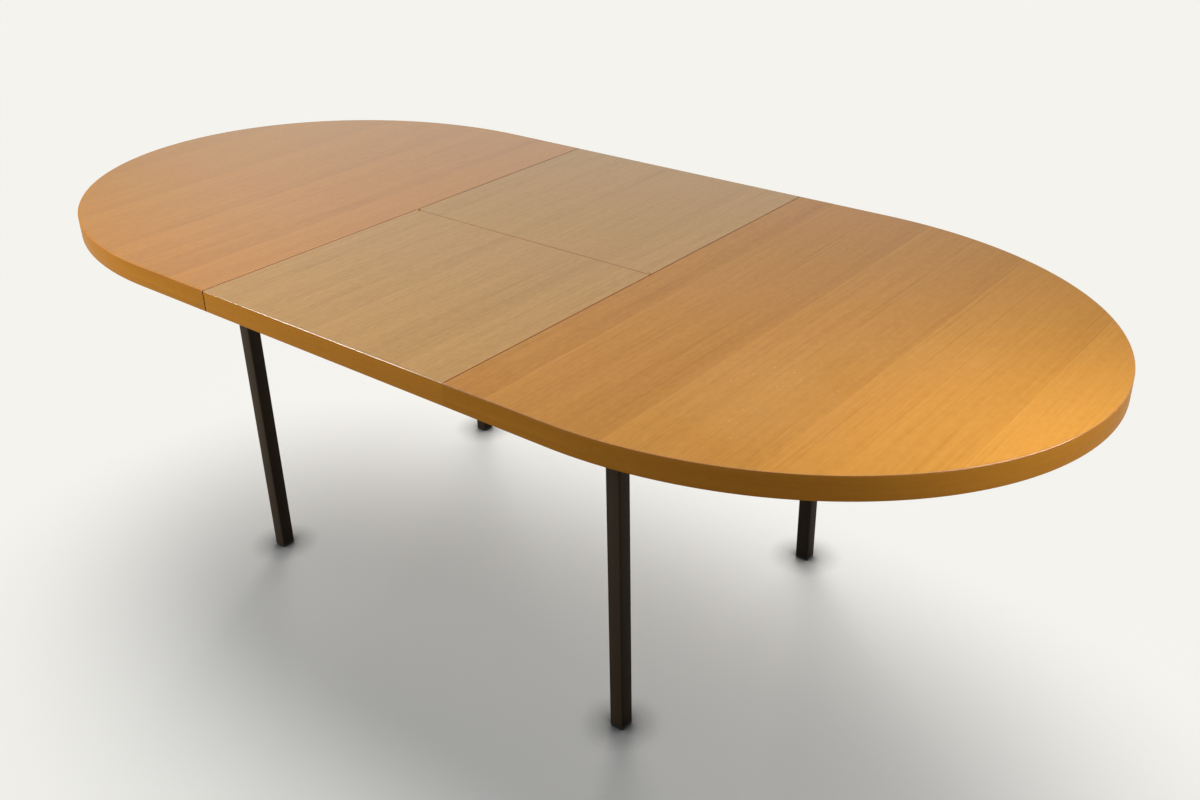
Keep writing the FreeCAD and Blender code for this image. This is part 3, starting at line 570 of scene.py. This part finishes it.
def make_lacquer_group():
    tree, given, result = new_group(
        "Satin lacquer", ("Vector", "Grain", "Rubbed", "Base Roughness"), ("Roughness", "Height")
    )
    x, y, z = split(tree, given.outputs["Vector"])
    cloud = noise(tree, times(tree, x, CLOUDS_PER_METRE), times(tree, y, CLOUDS_PER_METRE), z)
    uneven = times(tree, calculate(tree, "SUBTRACT", cloud, 0.5), UNEVEN)
    dull = times(tree, given.outputs["Rubbed"], DULLED)
    rough = total(tree, given.outputs["Base Roughness"], total(tree, uneven, dull))
    connect(tree, rough, result.inputs["Roughness"])
    ripple = noise(tree, times(tree, x, RIPPLES_PER_METRE), times(tree, y, RIPPLES_PER_METRE), z)
    ripple = times(tree, ripple, RIPPLE_SHARE)
    grain = times(tree, given.outputs["Grain"], 1.0 - RIPPLE_SHARE)
    connect(tree, total(tree, ripple, grain), result.inputs["Height"])
    return tree


def lacquer_coat(tree, shader, position, grain, rubbed, roughness):
    """Gives a shader the gloss and the fine height of the lacquer."""
    lacquer = place_group(
        tree, satin_lacquer, Vector=position, Grain=grain["Hair"], Rubbed=rubbed, Base_Roughness=roughness
    ).outputs
    connect(tree, lacquer["Roughness"], shader.inputs["Roughness"])
    bump(tree, shader, lacquer["Height"], LACQUER_DEPTH)


satin_lacquer = make_lacquer_group()
print("group", satin_lacquer.name)

# %% [markdown]
# ## Joint cuts and gap shade
#
# Where the panels meet, the veneer is cut through. The cut has no lacquer and shows as a thin red-brown
# line round each panel. Its colour is the raw cut wood with the shade and the reddish bounced light of the
# narrow gaps painted into it. A mask finds the places within about a millimetre and a half of the two
# joints and of the seam between the panels of the leaf.

# %% Group: cut edges and painted gap shade at the joints and the seam
JOINT_LINE = (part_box("top_board_right")[0].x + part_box("leaf_board_near")[1].x) / 2
CUT_AT_JOINT = (0.0011, 0.0017)
CUT_AT_SEAM = (0.0009, 0.0015)


def make_cut_group():
    tree, given, result = new_group("Joint cuts and gap shade", ("Vector",), ("Cut",))
    x, y = split(tree, given.outputs["Vector"])[:2]
    side = calculate(tree, "ABSOLUTE", x)
    to_joint = calculate(tree, "ABSOLUTE", calculate(tree, "SUBTRACT", side, JOINT_LINE))
    joint = fade(tree, to_joint, *CUT_AT_JOINT, 1.0, 0.0)
    on_leaf = calculate(tree, "LESS_THAN", side, JOINT_LINE)
    seam = fade(tree, calculate(tree, "ABSOLUTE", y), *CUT_AT_SEAM, 1.0, 0.0)
    cut = calculate(tree, "MAXIMUM", joint, times(tree, seam, on_leaf))
    connect(tree, cut, result.inputs["Cut"])
    return tree


joint_cuts_and_shade = make_cut_group()
print("joints at", round(JOINT_LINE, 4), "m to both sides")

# %% [markdown]
# ## Face veneer
#
# The two ends have a warm honey colour from light and age, a little deeper towards their tips. The leaf is
# paler and more grey, as wood stays that is kept in the dark under a top. Both use the same function with
# their own two colours. Each sheet is lighter at its left edge and darker towards its right edge, and thin
# pale lines show where two sheets meet. Only the upper face has this finish: under it the board shows a
# plain backing, told apart by height.

# %% Colour of a veneered face
TOP_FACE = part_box("top_board_right")[1].z
FACE_START = TOP_FACE - 0.0010
FACE_END = TOP_FACE - 0.0004
SHEET_WIDTH = 0.218
BACKING = (0.36, 0.20, 0.075, 1.0)
PALE_SPECK = (0.66, 0.42, 0.20, 1.0)
DARK_SPOT = (0.06, 0.03, 0.012, 1.0)
RAW_CUT_AND_GAP_SHADE = (0.28, 0.085, 0.022, 1.0)
HONEY = (0.47, 0.212, 0.012, 1.0)
HONEY_START = 0.4
HONEY_END = 1.1
HONEY_SHARE = 0.3
RUBBED_SHARE = 0.05
SPECK_SHARE = 0.22
SCRATCH_SHARE = 0.2


def centred(tree, value, strength):
    """A noise value moved to lie around nought, times strength."""
    return times(tree, calculate(tree, "SUBTRACT", value, 0.5), strength)


def veneer_colour(tree, position, first_joint, dark, light, banding, streaking, wear, seam):
    """Returns the colour of the face, and the grain and the marks that also shape its gloss."""
    sheets = place_group(
        tree, veneer_sheets, Vector=position, Sheet_Width=SHEET_WIDTH, First_Joint=first_joint
    ).outputs
    grain = place_group(
        tree, straight_grain, Across=sheets["Across"], Along=sheets["Along"], Sheet=sheets["Sheet"]
    ).outputs
    marks = place_group(tree, marks_of_use, Vector=position, Amount=wear).outputs

    darker = fade(tree, sheets["Place"], 0.55, 0.90)
    returning = fade(tree, sheets["Place"], 0.93, 1.0, -banding, -0.55 * banding)
    near_joint = fade(tree, sheets["Place"], 0.0, 0.14, 1.0, 0.0)
    pale_lines = fade(tree, grain["Hair"], 0.55, 0.68)
    tone = total(
        tree,
        0.5,
        centred(tree, grain["Broad"], 0.9 * streaking),
        centred(tree, grain["Fine"], 1.0 * streaking),
        centred(tree, grain["Hair"], 1.6 * streaking),
        centred(tree, grain["Mottle"], 1.4 * streaking),
        times(tree, fade(tree, grain["Fine"], 0.40, 0.30), -0.5 * streaking),
        times(tree, darker, returning),
        fade(tree, sheets["Place"], 0.0, 0.35, 0.45 * banding, 0.0),
        times(tree, times(tree, near_joint, pale_lines), banding),
        times(tree, sheets["Joint"], seam),
        times(tree, grain["Pores"], -0.25 * streaking),
    )
    colour = mix_colours(tree, tone, dark, light)
    from_middle = calculate(tree, "ABSOLUTE", split(tree, position)[0])
    honey_share = fade(tree, from_middle, HONEY_START, HONEY_END, 0.0, HONEY_SHARE)
    colour = mix_colours(tree, honey_share, colour, HONEY)
    pale = total(
        tree,
        times(tree, marks["Rubbed"], RUBBED_SHARE),
        times(tree, marks["Specks"], SPECK_SHARE),
        times(tree, marks["Scratches"], SCRATCH_SHARE),
    )
    colour = mix_colours(tree, pale, colour, PALE_SPECK)
    colour = mix_colours(tree, marks["Spots"], colour, DARK_SPOT)
    # The cuts at the joints get the colour of raw cut wood, with the shade of the gaps painted in.
    cut = place_group(tree, joint_cuts_and_shade, Vector=position).outputs["Cut"]
    return mix_colours(tree, cut, colour, RAW_CUT_AND_GAP_SHADE), grain, marks


print("face veneer", SHEET_WIDTH, "m a sheet")

# %% Materials of the two ends and the leaf
LEFT_DARK = (0.30, 0.116, 0.018, 1.0)
LEFT_LIGHT = (0.54, 0.235, 0.044, 1.0)
RIGHT_DARK = (0.278, 0.116, 0.022, 1.0)
RIGHT_LIGHT = (0.508, 0.238, 0.055, 1.0)
LEAF_DARK = (0.281, 0.149, 0.045, 1.0)
LEAF_LIGHT = (0.492, 0.279, 0.097, 1.0)
LEFT_SHEETS = dict(
    first_joint=-0.412, dark=LEFT_DARK, light=LEFT_LIGHT, banding=0.11, streaking=0.32, wear=0.5, seam=0.08
)
RIGHT_SHEETS = dict(
    first_joint=0.394, dark=RIGHT_DARK, light=RIGHT_LIGHT, banding=0.10, streaking=0.31, wear=1.0, seam=0.34
)
LEAF_SHEETS = dict(
    first_joint=-0.012, dark=LEAF_DARK, light=LEAF_LIGHT, banding=0.06, streaking=0.34, wear=0.3, seam=0.05
)


def veneer_material(name, sheets, gloss):
    material, tree, shader = new_material(name)
    position = add_node(tree, "ShaderNodeTexCoord").outputs["Object"]
    colour, grain, marks = veneer_colour(tree, position, **sheets)
    face = fade(tree, split(tree, position)[2], FACE_START, FACE_END)
    light_backing = [(first + second) / 2 for first, second in zip(BACKING, sheets["light"])]
    backing = mix_colours(tree, grain["Fine"], BACKING, light_backing)
    connect(tree, mix_colours(tree, face, backing, colour), shader.inputs["Base Color"])
    lacquer_coat(tree, shader, position, grain, marks["Rubbed"], LACQUER_ROUGHNESS)
    shader.inputs["Specular IOR Level"].default_value = gloss
    return material


left_veneer = veneer_material("honey_veneer_left", LEFT_SHEETS, gloss=0.85)
right_veneer = veneer_material("honey_veneer_right", RIGHT_SHEETS, gloss=0.25)
leaf_veneer = veneer_material("pale_leaf_veneer", LEAF_SHEETS, gloss=0.5)
print("veneers", left_veneer.name, right_veneer.name, leaf_veneer.name)

# %% [markdown]
# ## Edge band
#
# A band of solid wood, 4 mm thick, runs round the whole outline and hides the core. Its grain follows the
# edge, also round the curved ends, so the streaks read a UV map that the piece carries: u is the length
# along the edge and v the height. Its upper side was planed and lacquered together with the top and looks
# like it. Along the rounded upper edge the colour darkens to a thin red-brown line, broken up by noise,
# and the edge catches light there. The band itself is only oiled, so it hardly shines. At the left joint
# the bands stand open, and the band is painted near-black there as the shade in the gap.

# %% Material of the edge bands
BAND_DARK = (0.28, 0.114, 0.012, 1.0)
BAND_LIGHT = (0.42, 0.178, 0.021, 1.0)
DARK_ARRIS_LINE = (0.24, 0.065, 0.010, 1.0)
LEFT_GAP_SHADE = (0.05, 0.018, 0.007, 1.0)
BAND_ROUGHNESS = 0.40
BAND_SPECULAR = 0.02
GLINT_ROUGHNESS = 0.2
GLINT_IOR = 2.0
LINE_NOISE_PER_METRE = 14.0


def near_top(tree, level, deep, shallow, low=0.0, high=1.0):
    """Runs from low to high between two depths under the top face, in metres."""
    return fade(tree, level, TOP_FACE - deep, TOP_FACE - shallow, low, high)


def band_material(name, sheets, middle_tone, arris_darkness, shine):
    material, tree, shader = new_material(name)
    coordinates = add_node(tree, "ShaderNodeTexCoord").outputs
    along, height = split(tree, coordinates["UV"])[:2]
    position = coordinates["Object"]
    level = split(tree, position)[2]
    grain = place_group(tree, straight_grain, Across=height, Along=along, Sheet=0.0).outputs
    tone = total(
        tree,
        middle_tone,
        centred(tree, grain["Broad"], 0.6),
        centred(tree, grain["Fine"], 0.4),
        centred(tree, grain["Hair"], 0.4),
        centred(tree, grain["Mottle"], 0.3),
        times(tree, grain["Pores"], -0.2),
    )
    colour = mix_colours(tree, tone, BAND_DARK, BAND_LIGHT)
    face_colour = veneer_colour(tree, position, **sheets)[0]
    upper_side = near_top(tree, level, 0.0006, 0.0001)
    colour = mix_colours(tree, upper_side, colour, face_colour)
    rub = noise(tree, times(tree, along, LINE_NOISE_PER_METRE), height, layer=3.0)
    # A thin dark red-brown line painted along the rounded upper edge, its strength varied by a noise.
    line = near_top(tree, level, 0.0021, 0.0014)
    line = times(tree, line, near_top(tree, level, 0.0005, 0.0002, 1.0, 0.0))
    line = times(tree, line, fade(tree, rub, 0.35, 0.65, arris_darkness, 0.5 * arris_darkness))
    colour = mix_colours(tree, line, colour, DARK_ARRIS_LINE)
    # Painted shade: at the left joint the band turns near-black, as the gap between the bands lies in
    # shade.
    cut = place_group(tree, joint_cuts_and_shade, Vector=position).outputs["Cut"]
    on_left = calculate(tree, "LESS_THAN", split(tree, position)[0], 0.0)
    cut = times(tree, cut, on_left)
    connect(tree, mix_colours(tree, cut, colour, LEFT_GAP_SHADE), shader.inputs["Base Color"])
    lacquer_coat(tree, shader, position, grain, 0.0, BAND_ROUGHNESS)
    shader.inputs["Specular IOR Level"].default_value = BAND_SPECULAR
    arris = near_top(tree, level, 0.0016, 0.0010, 0.0, shine)
    connect(tree, arris, shader.inputs["Coat Weight"])
    shader.inputs["Coat Roughness"].default_value = GLINT_ROUGHNESS
    shader.inputs["Coat IOR"].default_value = GLINT_IOR
    return material


left_band = band_material("edge_band_left", LEFT_SHEETS, middle_tone=0.2, arris_darkness=0.9, shine=0.3)
right_band = band_material("edge_band_right", RIGHT_SHEETS, middle_tone=0.2, arris_darkness=0.6, shine=0.7)
leaf_band = band_material("edge_band_leaf", LEAF_SHEETS, middle_tone=0.38, arris_darkness=0.2, shine=1.0)
print("bands", left_band.name, right_band.name, leaf_band.name)

# %% [markdown]
# ## Finishing a piece
#
# Each new piece is a bmesh that stands for one CAD node. It is shaded smooth where it is curved and flat
# where it is flat, so a rounded edge looks round and a table top stays a plane. The piece stays at the
# origin with its place in its mesh, and it rides on the body that its node belongs to.

# %% Helper that turns a bmesh into a riding piece
CURVED_BELOW = math.radians(40.0)
LEVEL_FACE = 0.999


def place_piece(name, shape, body, slot, material, *nodes):
    bmesh.ops.recalc_face_normals(shape, faces=shape.faces)
    for edge in shape.edges:
        edge.smooth = edge.is_manifold and edge.calc_face_angle(0.0) < CURVED_BELOW
    for face in shape.faces:
        face.smooth = abs(face.normal.z) < LEVEL_FACE
    mesh = bpy.data.meshes.new(name)
    shape.to_mesh(mesh)
    shape.free()
    mesh.materials.append(material)
    piece = bpy.data.objects.new(name, mesh)
    bpy.context.scene.collection.objects.link(piece)
    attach(piece, body)
    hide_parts(*nodes)
    print(name, "with", len(mesh.polygons), "faces rides on", body)
    return piece


print("edges turn sharp above", round(math.degrees(CURVED_BELOW)), "degrees")

# %% [markdown]
# ## Outline of an end
#
# An end of the table is half an ellipse with a short straight stretch up to the joint. In plan that is all
# there is, so one function draws the outline at any height and any distance inside the edge. It starts
# from a circle, stretches it, cuts it in half, and pulls its two ends to the joint face. The result is an
# open chain of edges. A curve object would also work, but chains can be bridged to walls straight away.

# %% Draw the outline of an end as a chain
band_low, band_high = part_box("edge_lipping_right")
JOINT_X = band_low.x
HALF_WIDTH = band_high.y
CURVE_START = 0.5136
END_REACH = band_high.x - CURVE_START
ROUND_STEPS = 360
TOUCHING = 1e-6


def outline_chain(shape, inset, height):
    """The open outline of the right end, inset from the edge, at a height. Returns its edges."""
    ring = bmesh.ops.create_circle(shape, radius=1.0, segments=ROUND_STEPS)["verts"]
    stretch = (END_REACH - inset, HALF_WIDTH - inset, 1.0)
    bmesh.ops.scale(shape, vec=stretch, verts=ring)
    bmesh.ops.translate(shape, vec=(CURVE_START, 0.0, height), verts=ring)
    parts = ring + list({edge for vert in ring for edge in vert.link_edges})
    cut = bmesh.ops.bisect_plane(
        shape,
        geom=parts,
        dist=TOUCHING,
        plane_co=(CURVE_START, 0.0, 0.0),
        plane_no=(1.0, 0.0, 0.0),
        clear_inner=True,
    )["geom"]
    kept = [part for part in cut if part.is_valid]
    ends = [vert for vert in kept if isinstance(vert, bmesh.types.BMVert) and len(vert.link_edges) == 1]
    pulled = bmesh.ops.extrude_vert_indiv(shape, verts=ends)
    for vert in pulled["verts"]:
        vert.co.x = JOINT_X
    return [part for part in kept if isinstance(part, bmesh.types.BMEdge)] + pulled["edges"]


def loft(shape, profile):
    """Walls along the outline through a closed profile of (inset, height) points, with closed ends."""
    chains = [outline_chain(shape, inset, height) for inset, height in profile]
    for chain, following in zip(chains, chains[1:] + chains[:1]):
        bmesh.ops.bridge_loops(shape, edges=chain + following)
    open_edges = [edge for edge in shape.edges if edge.is_boundary]
    bmesh.ops.holes_fill(shape, edges=open_edges)
    return chains


def to_side(shape, side):
    """Mirrors a right end to the left where side is -1."""
    bmesh.ops.scale(shape, vec=(side, 1.0, 1.0), verts=shape.verts)


trial = bmesh.new()
print("outline of an end has", len(outline_chain(trial, 0.0, 0.0)), "edges")
trial.free()

# %% [markdown]
# ## Veneered tops of the two ends
#
# Under the veneer lies a flat board, 22 mm thick, that ends 4 mm inside the edge where the band is glued
# on. Its outline is filled to one flat face and pulled down to the thickness. The upper edge at the joint
# is just broken, as a maker does with a few strokes of fine paper, so that the veneer doesn't splinter.

# %% Model the boards of the two ends
BAND_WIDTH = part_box("edge_lipping_right")[1].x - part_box("top_board_right")[1].x
BOARD_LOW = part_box("top_board_right")[0].z
BROKEN_EDGE = 0.0005


def end_board(side):
    shape = bmesh.new()
    chain = outline_chain(shape, BAND_WIDTH, TOP_FACE)
    ends = [vert for vert in shape.verts if len(vert.link_edges) == 1]
    joint_edge = bmesh.ops.contextual_create(shape, geom=ends)["edges"]
    top = bmesh.ops.contextual_create(shape, geom=chain + joint_edge)["faces"]
    walls = bmesh.ops.extrude_face_region(shape, geom=top)["geom"]
    lowered = [part for part in walls if isinstance(part, bmesh.types.BMVert)]
    bmesh.ops.translate(shape, vec=(0.0, 0.0, BOARD_LOW - TOP_FACE), verts=lowered)
    bmesh.ops.recalc_face_normals(shape, faces=shape.faces)

    def at_joint(vert):
        return abs(vert.co.z - TOP_FACE) < TOUCHING and abs(vert.co.x - JOINT_X) < TOUCHING

    upper = [edge for edge in shape.edges if all(at_joint(vert) for vert in edge.verts)]
    bmesh.ops.bevel(
        shape, geom=upper, offset=BROKEN_EDGE, affect="EDGES", segments=2, profile=0.5, material=-1
    )
    to_side(shape, side)
    return shape


for side, word, veneer in ((-1, "left", left_veneer), (1, "right", right_veneer)):
    shape = end_board(side)
    place_piece("veneered_top_" + word, shape, word + "_half", "top_veneer", veneer, "top_board_" + word)

# %% [markdown]
# ## Edge bands of the two ends
#
# The band is one profile carried along the outline, and its two outer edges are rounded by 1.4 mm. Turning
# it on a lathe wouldn't do, because the outline isn't a circle. The UV map follows the edge from the near
# joint round the tip to the far joint.

# %% Model the bands of the two ends
BAND_LOW = band_low.z
EDGE_ROUND = 0.0014
QUARTER_LENGTH = math.pi / 2 * math.sqrt((END_REACH ** 2 + HALF_WIDTH ** 2) / 2)


def length_along(point):
    """Length along the edge from the near joint, round the tip, to the far joint."""
    beyond = abs(point.x) - CURVE_START
    straight = min(abs(point.x), CURVE_START) - JOINT_X
    angle = math.atan2(max(beyond, 0.0) / END_REACH, abs(point.y) / HALF_WIDTH)
    near = straight + QUARTER_LENGTH * angle / (math.pi / 2)
    whole = 2 * (CURVE_START - JOINT_X + QUARTER_LENGTH)
    return near if point.y < 0.0 else whole - near


def unwrap_band(shape, along):
    """Gives the band a UV map: the length along it, and its height, both in metres."""
    uv = shape.loops.layers.uv.new("along_edge")
    for face in shape.faces:
        for loop in face.loops:
            loop[uv].uv = (along(loop.vert.co), loop.vert.co.z)


def round_edges(shape, edges, radius, steps):
    bmesh.ops.bevel(
        shape, geom=edges, offset=radius, affect="EDGES", segments=steps, profile=0.5, material=-1
    )


def end_band_shape(side):
    shape = bmesh.new()
    profile = ((BAND_WIDTH, TOP_FACE), (0.0, TOP_FACE), (0.0, BAND_LOW), (BAND_WIDTH, BAND_LOW))
    chains = loft(shape, profile)
    bmesh.ops.recalc_face_normals(shape, faces=shape.faces)
    round_edges(shape, chains[1] + chains[2], EDGE_ROUND, 4)
    unwrap_band(shape, length_along)
    to_side(shape, side)
    return shape


for side, word, band in ((-1, "left", left_band), (1, "right", right_band)):
    shape = end_band_shape(side)
    place_piece("edge_band_" + word, shape, word + "_half", "edge_lipping", band, "edge_lipping_" + word)

# %% [markdown]
# ## Edge bands of the leaf
#
# The leaf has a straight band on the outer side of each panel. It is a bar with its outer edges rounded
# like the rest: a stretched cube with two edges rounded, and its u runs along X. At the right end the
# bands meet so closely that the joint hardly shows, so the leaf's band reaches up to a fifth of a
# millimetre from the other.

# %% Model the bands of the leaf panels
LEAF_ROUND = 0.0013
CLOSE_FIT = 0.0002
LONG_EDGE = 0.1


def block(low, high):
    """A closed box between two corners."""
    shape = bmesh.new()
    bmesh.ops.create_cube(shape, size=1.0)
    bmesh.ops.scale(shape, vec=high - low, verts=shape.verts)
    bmesh.ops.translate(shape, vec=(high + low) / 2, verts=shape.verts)
    return shape


def leaf_band_shape(low, high):
    shape = block(low, high)
    outer = max(low.y, high.y, key=abs)
    on_outside = [
        edge for edge in shape.edges if all(abs(vert.co.y - outer) < TOUCHING for vert in edge.verts)
    ]
    long_edges = [edge for edge in on_outside if abs(edge.verts[0].co.x - edge.verts[1].co.x) > LONG_EDGE]
    round_edges(shape, long_edges, LEAF_ROUND, 5)
    unwrap_band(shape, lambda point: point.x + 1.0)
    return shape


for panel in ("near", "far"):
    low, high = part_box("leaf_lipping_" + panel)
    high.x = JOINT_X - CLOSE_FIT
    place_piece(
        "leaf_band_" + panel,
        leaf_band_shape(low, high),
        "leaf_" + panel,
        "edge_lipping",
        leaf_band,
        "leaf_lipping_" + panel,
    )

# %% [markdown]
# ## Painted steel
#
# Legs, rails and guides are steel tube and sheet with a dull paint between brown and black. Sprayed paint
# has a fine skin like an orange and a slightly uneven gloss. Flat black would look like a hole in the
# picture, so the colour stays a warm dark brown, with little gloss.

# %% Material of the painted frame
PAINT = (0.036, 0.028, 0.0200, 1.0)
PAINT_WARM = (0.047, 0.034, 0.0220, 1.0)
PAINT_ROUGHNESS = (0.38, 0.52)
PAINT_SPECULAR = 0.03
SKIN_SCALE = 420.0
SKIN_DEPTH = 0.00006
PATCHES_PER_METRE = 40.0
LONG_PATCHES = 6.0


def fine_noise(tree, scale, detail=2.0):
    cloud = add_node(tree, "ShaderNodeTexNoise")
    connect(tree, add_node(tree, "ShaderNodeTexCoord").outputs["Object"], cloud.inputs["Vector"])
    cloud.inputs["Scale"].default_value = scale
    cloud.inputs["Detail"].default_value = detail
    return cloud.outputs[0]


def paint_material():
    material, tree, shader = new_material("dark_brown_paint")
    x, y, z = split(tree, add_node(tree, "ShaderNodeTexCoord").outputs["Object"])
    cloud_x = times(tree, x, PATCHES_PER_METRE)
    cloud_y = times(tree, y, PATCHES_PER_METRE)
    cloud = noise(tree, cloud_x, cloud_y, z, detail=3.0)
    long_cloud = noise(tree, x, y, times(tree, z, LONG_PATCHES))
    warm = fade(tree, total(tree, cloud, long_cloud), 0.8, 1.25)
    connect(tree, mix_colours(tree, warm, PAINT, PAINT_WARM), shader.inputs["Base Color"])
    connect(tree, fade(tree, cloud, 0.2, 0.8, *PAINT_ROUGHNESS), shader.inputs["Roughness"])
    shader.inputs["Specular IOR Level"].default_value = PAINT_SPECULAR
    bump(tree, shader, fine_noise(tree, SKIN_SCALE), SKIN_DEPTH)
    return material


frame_paint = paint_material()
print("paint", frame_paint.name)

# %% [markdown]
# ## Legs
#
# The legs are square tube, 30 mm wide, with corners rounded by 3.5 mm. The CAD corner has few facets, and
# a leg stands right in front of the camera, so each leg is modelled again: a stretched cube, its four
# upright edges rounded in many steps, both ends opened, and a wall of 2 mm given to the shell. The lamps
# at the right leave the legs out, and the one at the left leaves out the far right leg, which is dark in
# the picture.

# %% Model the four legs
LEG_CORNER = 0.0035
LEG_WALL = 0.0020


def leg_shape(low, high):
    shape = block(low, high)
    upright = [edge for edge in shape.edges if abs(edge.verts[0].co.z - edge.verts[1].co.z) > LONG_EDGE]
    round_edges(shape, upright, LEG_CORNER, 5)
    ends = [face for face in shape.faces if abs(face.normal.z) > LEVEL_FACE]
    bmesh.ops.delete(shape, geom=ends, context="FACES_ONLY")
    bmesh.ops.recalc_face_normals(shape, faces=shape.faces)
    bmesh.ops.solidify(shape, geom=shape.faces[:], thickness=LEG_WALL)
    return shape


legs = []
for corner in ("left_near", "left_far", "right_near", "right_far"):
    node = "leg_" + corner
    shape = leg_shape(*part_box(node))
    legs.append(place_piece("leg_tube_" + corner, shape, "base", "frame_steel", frame_paint, node))
keep_dark("not_lit_from_the_right", [floor] + legs, (side_softbox, tip_softbox, over_softbox, glint_strip))
keep_dark("not_lit_from_the_left", [floor, legs[-1]], (left_softbox,))

# %% [markdown]
# ## The other finishes
#
# What lies under the top is seen when the table is opened or turned over: beech runners, plain build-up
# wood, nylon feet, zinc screws, brass hinges and felt. Their CAD shapes are right as they are, so each
# only gets a finish of its own. Wood uses the grain group again, with its grain along the table.

# %% Materials of plain wood
BEECH = ((0.36, 0.19, 0.085, 1.0), (0.56, 0.34, 0.17, 1.0))
CORE_WOOD = ((0.34, 0.20, 0.085, 1.0), (0.52, 0.34, 0.16, 1.0))
PORE_DEPTH = 0.00008
WOOD_UNEVEN = 0.08


def plain_wood(name, dark, light, roughness, flecks):
    """Unlacquered wood with its grain along X."""
    material, tree, shader = new_material(name)
    x, y, z = split(tree, add_node(tree, "ShaderNodeTexCoord").outputs["Object"])
    across = total(tree, y, times(tree, z, 0.8))
    grain = place_group(tree, straight_grain, Across=across, Along=x, Sheet=2.0).outputs
    tone = total(tree, 0.5, centred(tree, grain["Broad"], 0.8))
    tone = total(tree, tone, centred(tree, grain["Fine"], 0.8))
    tone = calculate(tree, "SUBTRACT", tone, times(tree, grain["Pores"], flecks))
    connect(tree, mix_colours(tree, tone, dark, light), shader.inputs["Base Color"])
    uneven = fade(tree, grain["Hair"], 0.2, 0.8, roughness - WOOD_UNEVEN, roughness + WOOD_UNEVEN)
    connect(tree, uneven, shader.inputs["Roughness"])
    bump(tree, shader, grain["Hair"], PORE_DEPTH)
    return material


beech = plain_wood("runner_beech", *BEECH, roughness=0.55, flecks=0.45)
build_up = plain_wood("build_up_wood", *CORE_WOOD, roughness=0.62, flecks=0.15)
print("woods", beech.name, build_up.name)

# %% Materials of nylon, metal and felt
def simple_material(name, dark, light, scale, rough, depth, metal):
    """Two tones of one colour in a fine cloud, with gloss from it and height from a finer one."""
    material, tree, shader = new_material(name)
    cloud = fine_noise(tree, scale, 4.0)
    share = fade(tree, cloud, 0.3, 0.7)
    connect(tree, mix_colours(tree, share, dark, light), shader.inputs["Base Color"])
    connect(tree, fade(tree, cloud, 0.3, 0.7, *rough), shader.inputs["Roughness"])
    shader.inputs["Metallic"].default_value = metal
    bump(tree, shader, fine_noise(tree, scale * 6.0), depth)
    return material


NYLON = ((0.012, 0.012, 0.012, 1.0), (0.022, 0.021, 0.020, 1.0))
ZINC = ((0.42, 0.43, 0.44, 1.0), (0.66, 0.66, 0.64, 1.0))
OLD_BRASS = ((0.36, 0.205, 0.07, 1.0), (0.48, 0.29, 0.10, 1.0))
FELT = ((0.05, 0.06, 0.05, 1.0), (0.11, 0.125, 0.105, 1.0))
nylon = simple_material("black_nylon", *NYLON, scale=300.0, rough=(0.45, 0.6), depth=0.00005, metal=0.0)
zinc = simple_material("zinc_screws", *ZINC, scale=500.0, rough=(0.28, 0.5), depth=0.00002, metal=1.0)
brass = simple_material("hinge_brass", *OLD_BRASS, scale=350.0, rough=(0.4, 0.6), depth=0.00002, metal=0.4)
felt = simple_material("cradle_felt", *FELT, scale=900.0, rough=(0.9, 1.0), depth=0.0004, metal=0.0)
print("finishes", nylon.name, zinc.name, brass.name, felt.name)

# %% Give the CAD nodes of the listed slots their finish
FINISH_OF_SLOT = {
    "frame_steel": frame_paint,
    "black_nylon": nylon,
    "zinc_screws": zinc,
    "felt": felt,
    "build_up_wood": build_up,
    "runner_beech": beech,
    "leaf_veneer": leaf_veneer,
    "hinge_brass": brass,
}
finished = 0
for subpart in frame["record"]["subparts"]:
    finish = FINISH_OF_SLOT.get(subpart["material_slot"])
    if finish:
        mesh = frame["nodes"][subpart["node"]].data
        mesh.materials.clear()
        mesh.materials.append(finish)
        finished += 1
print("CAD nodes with a finish:", finished)
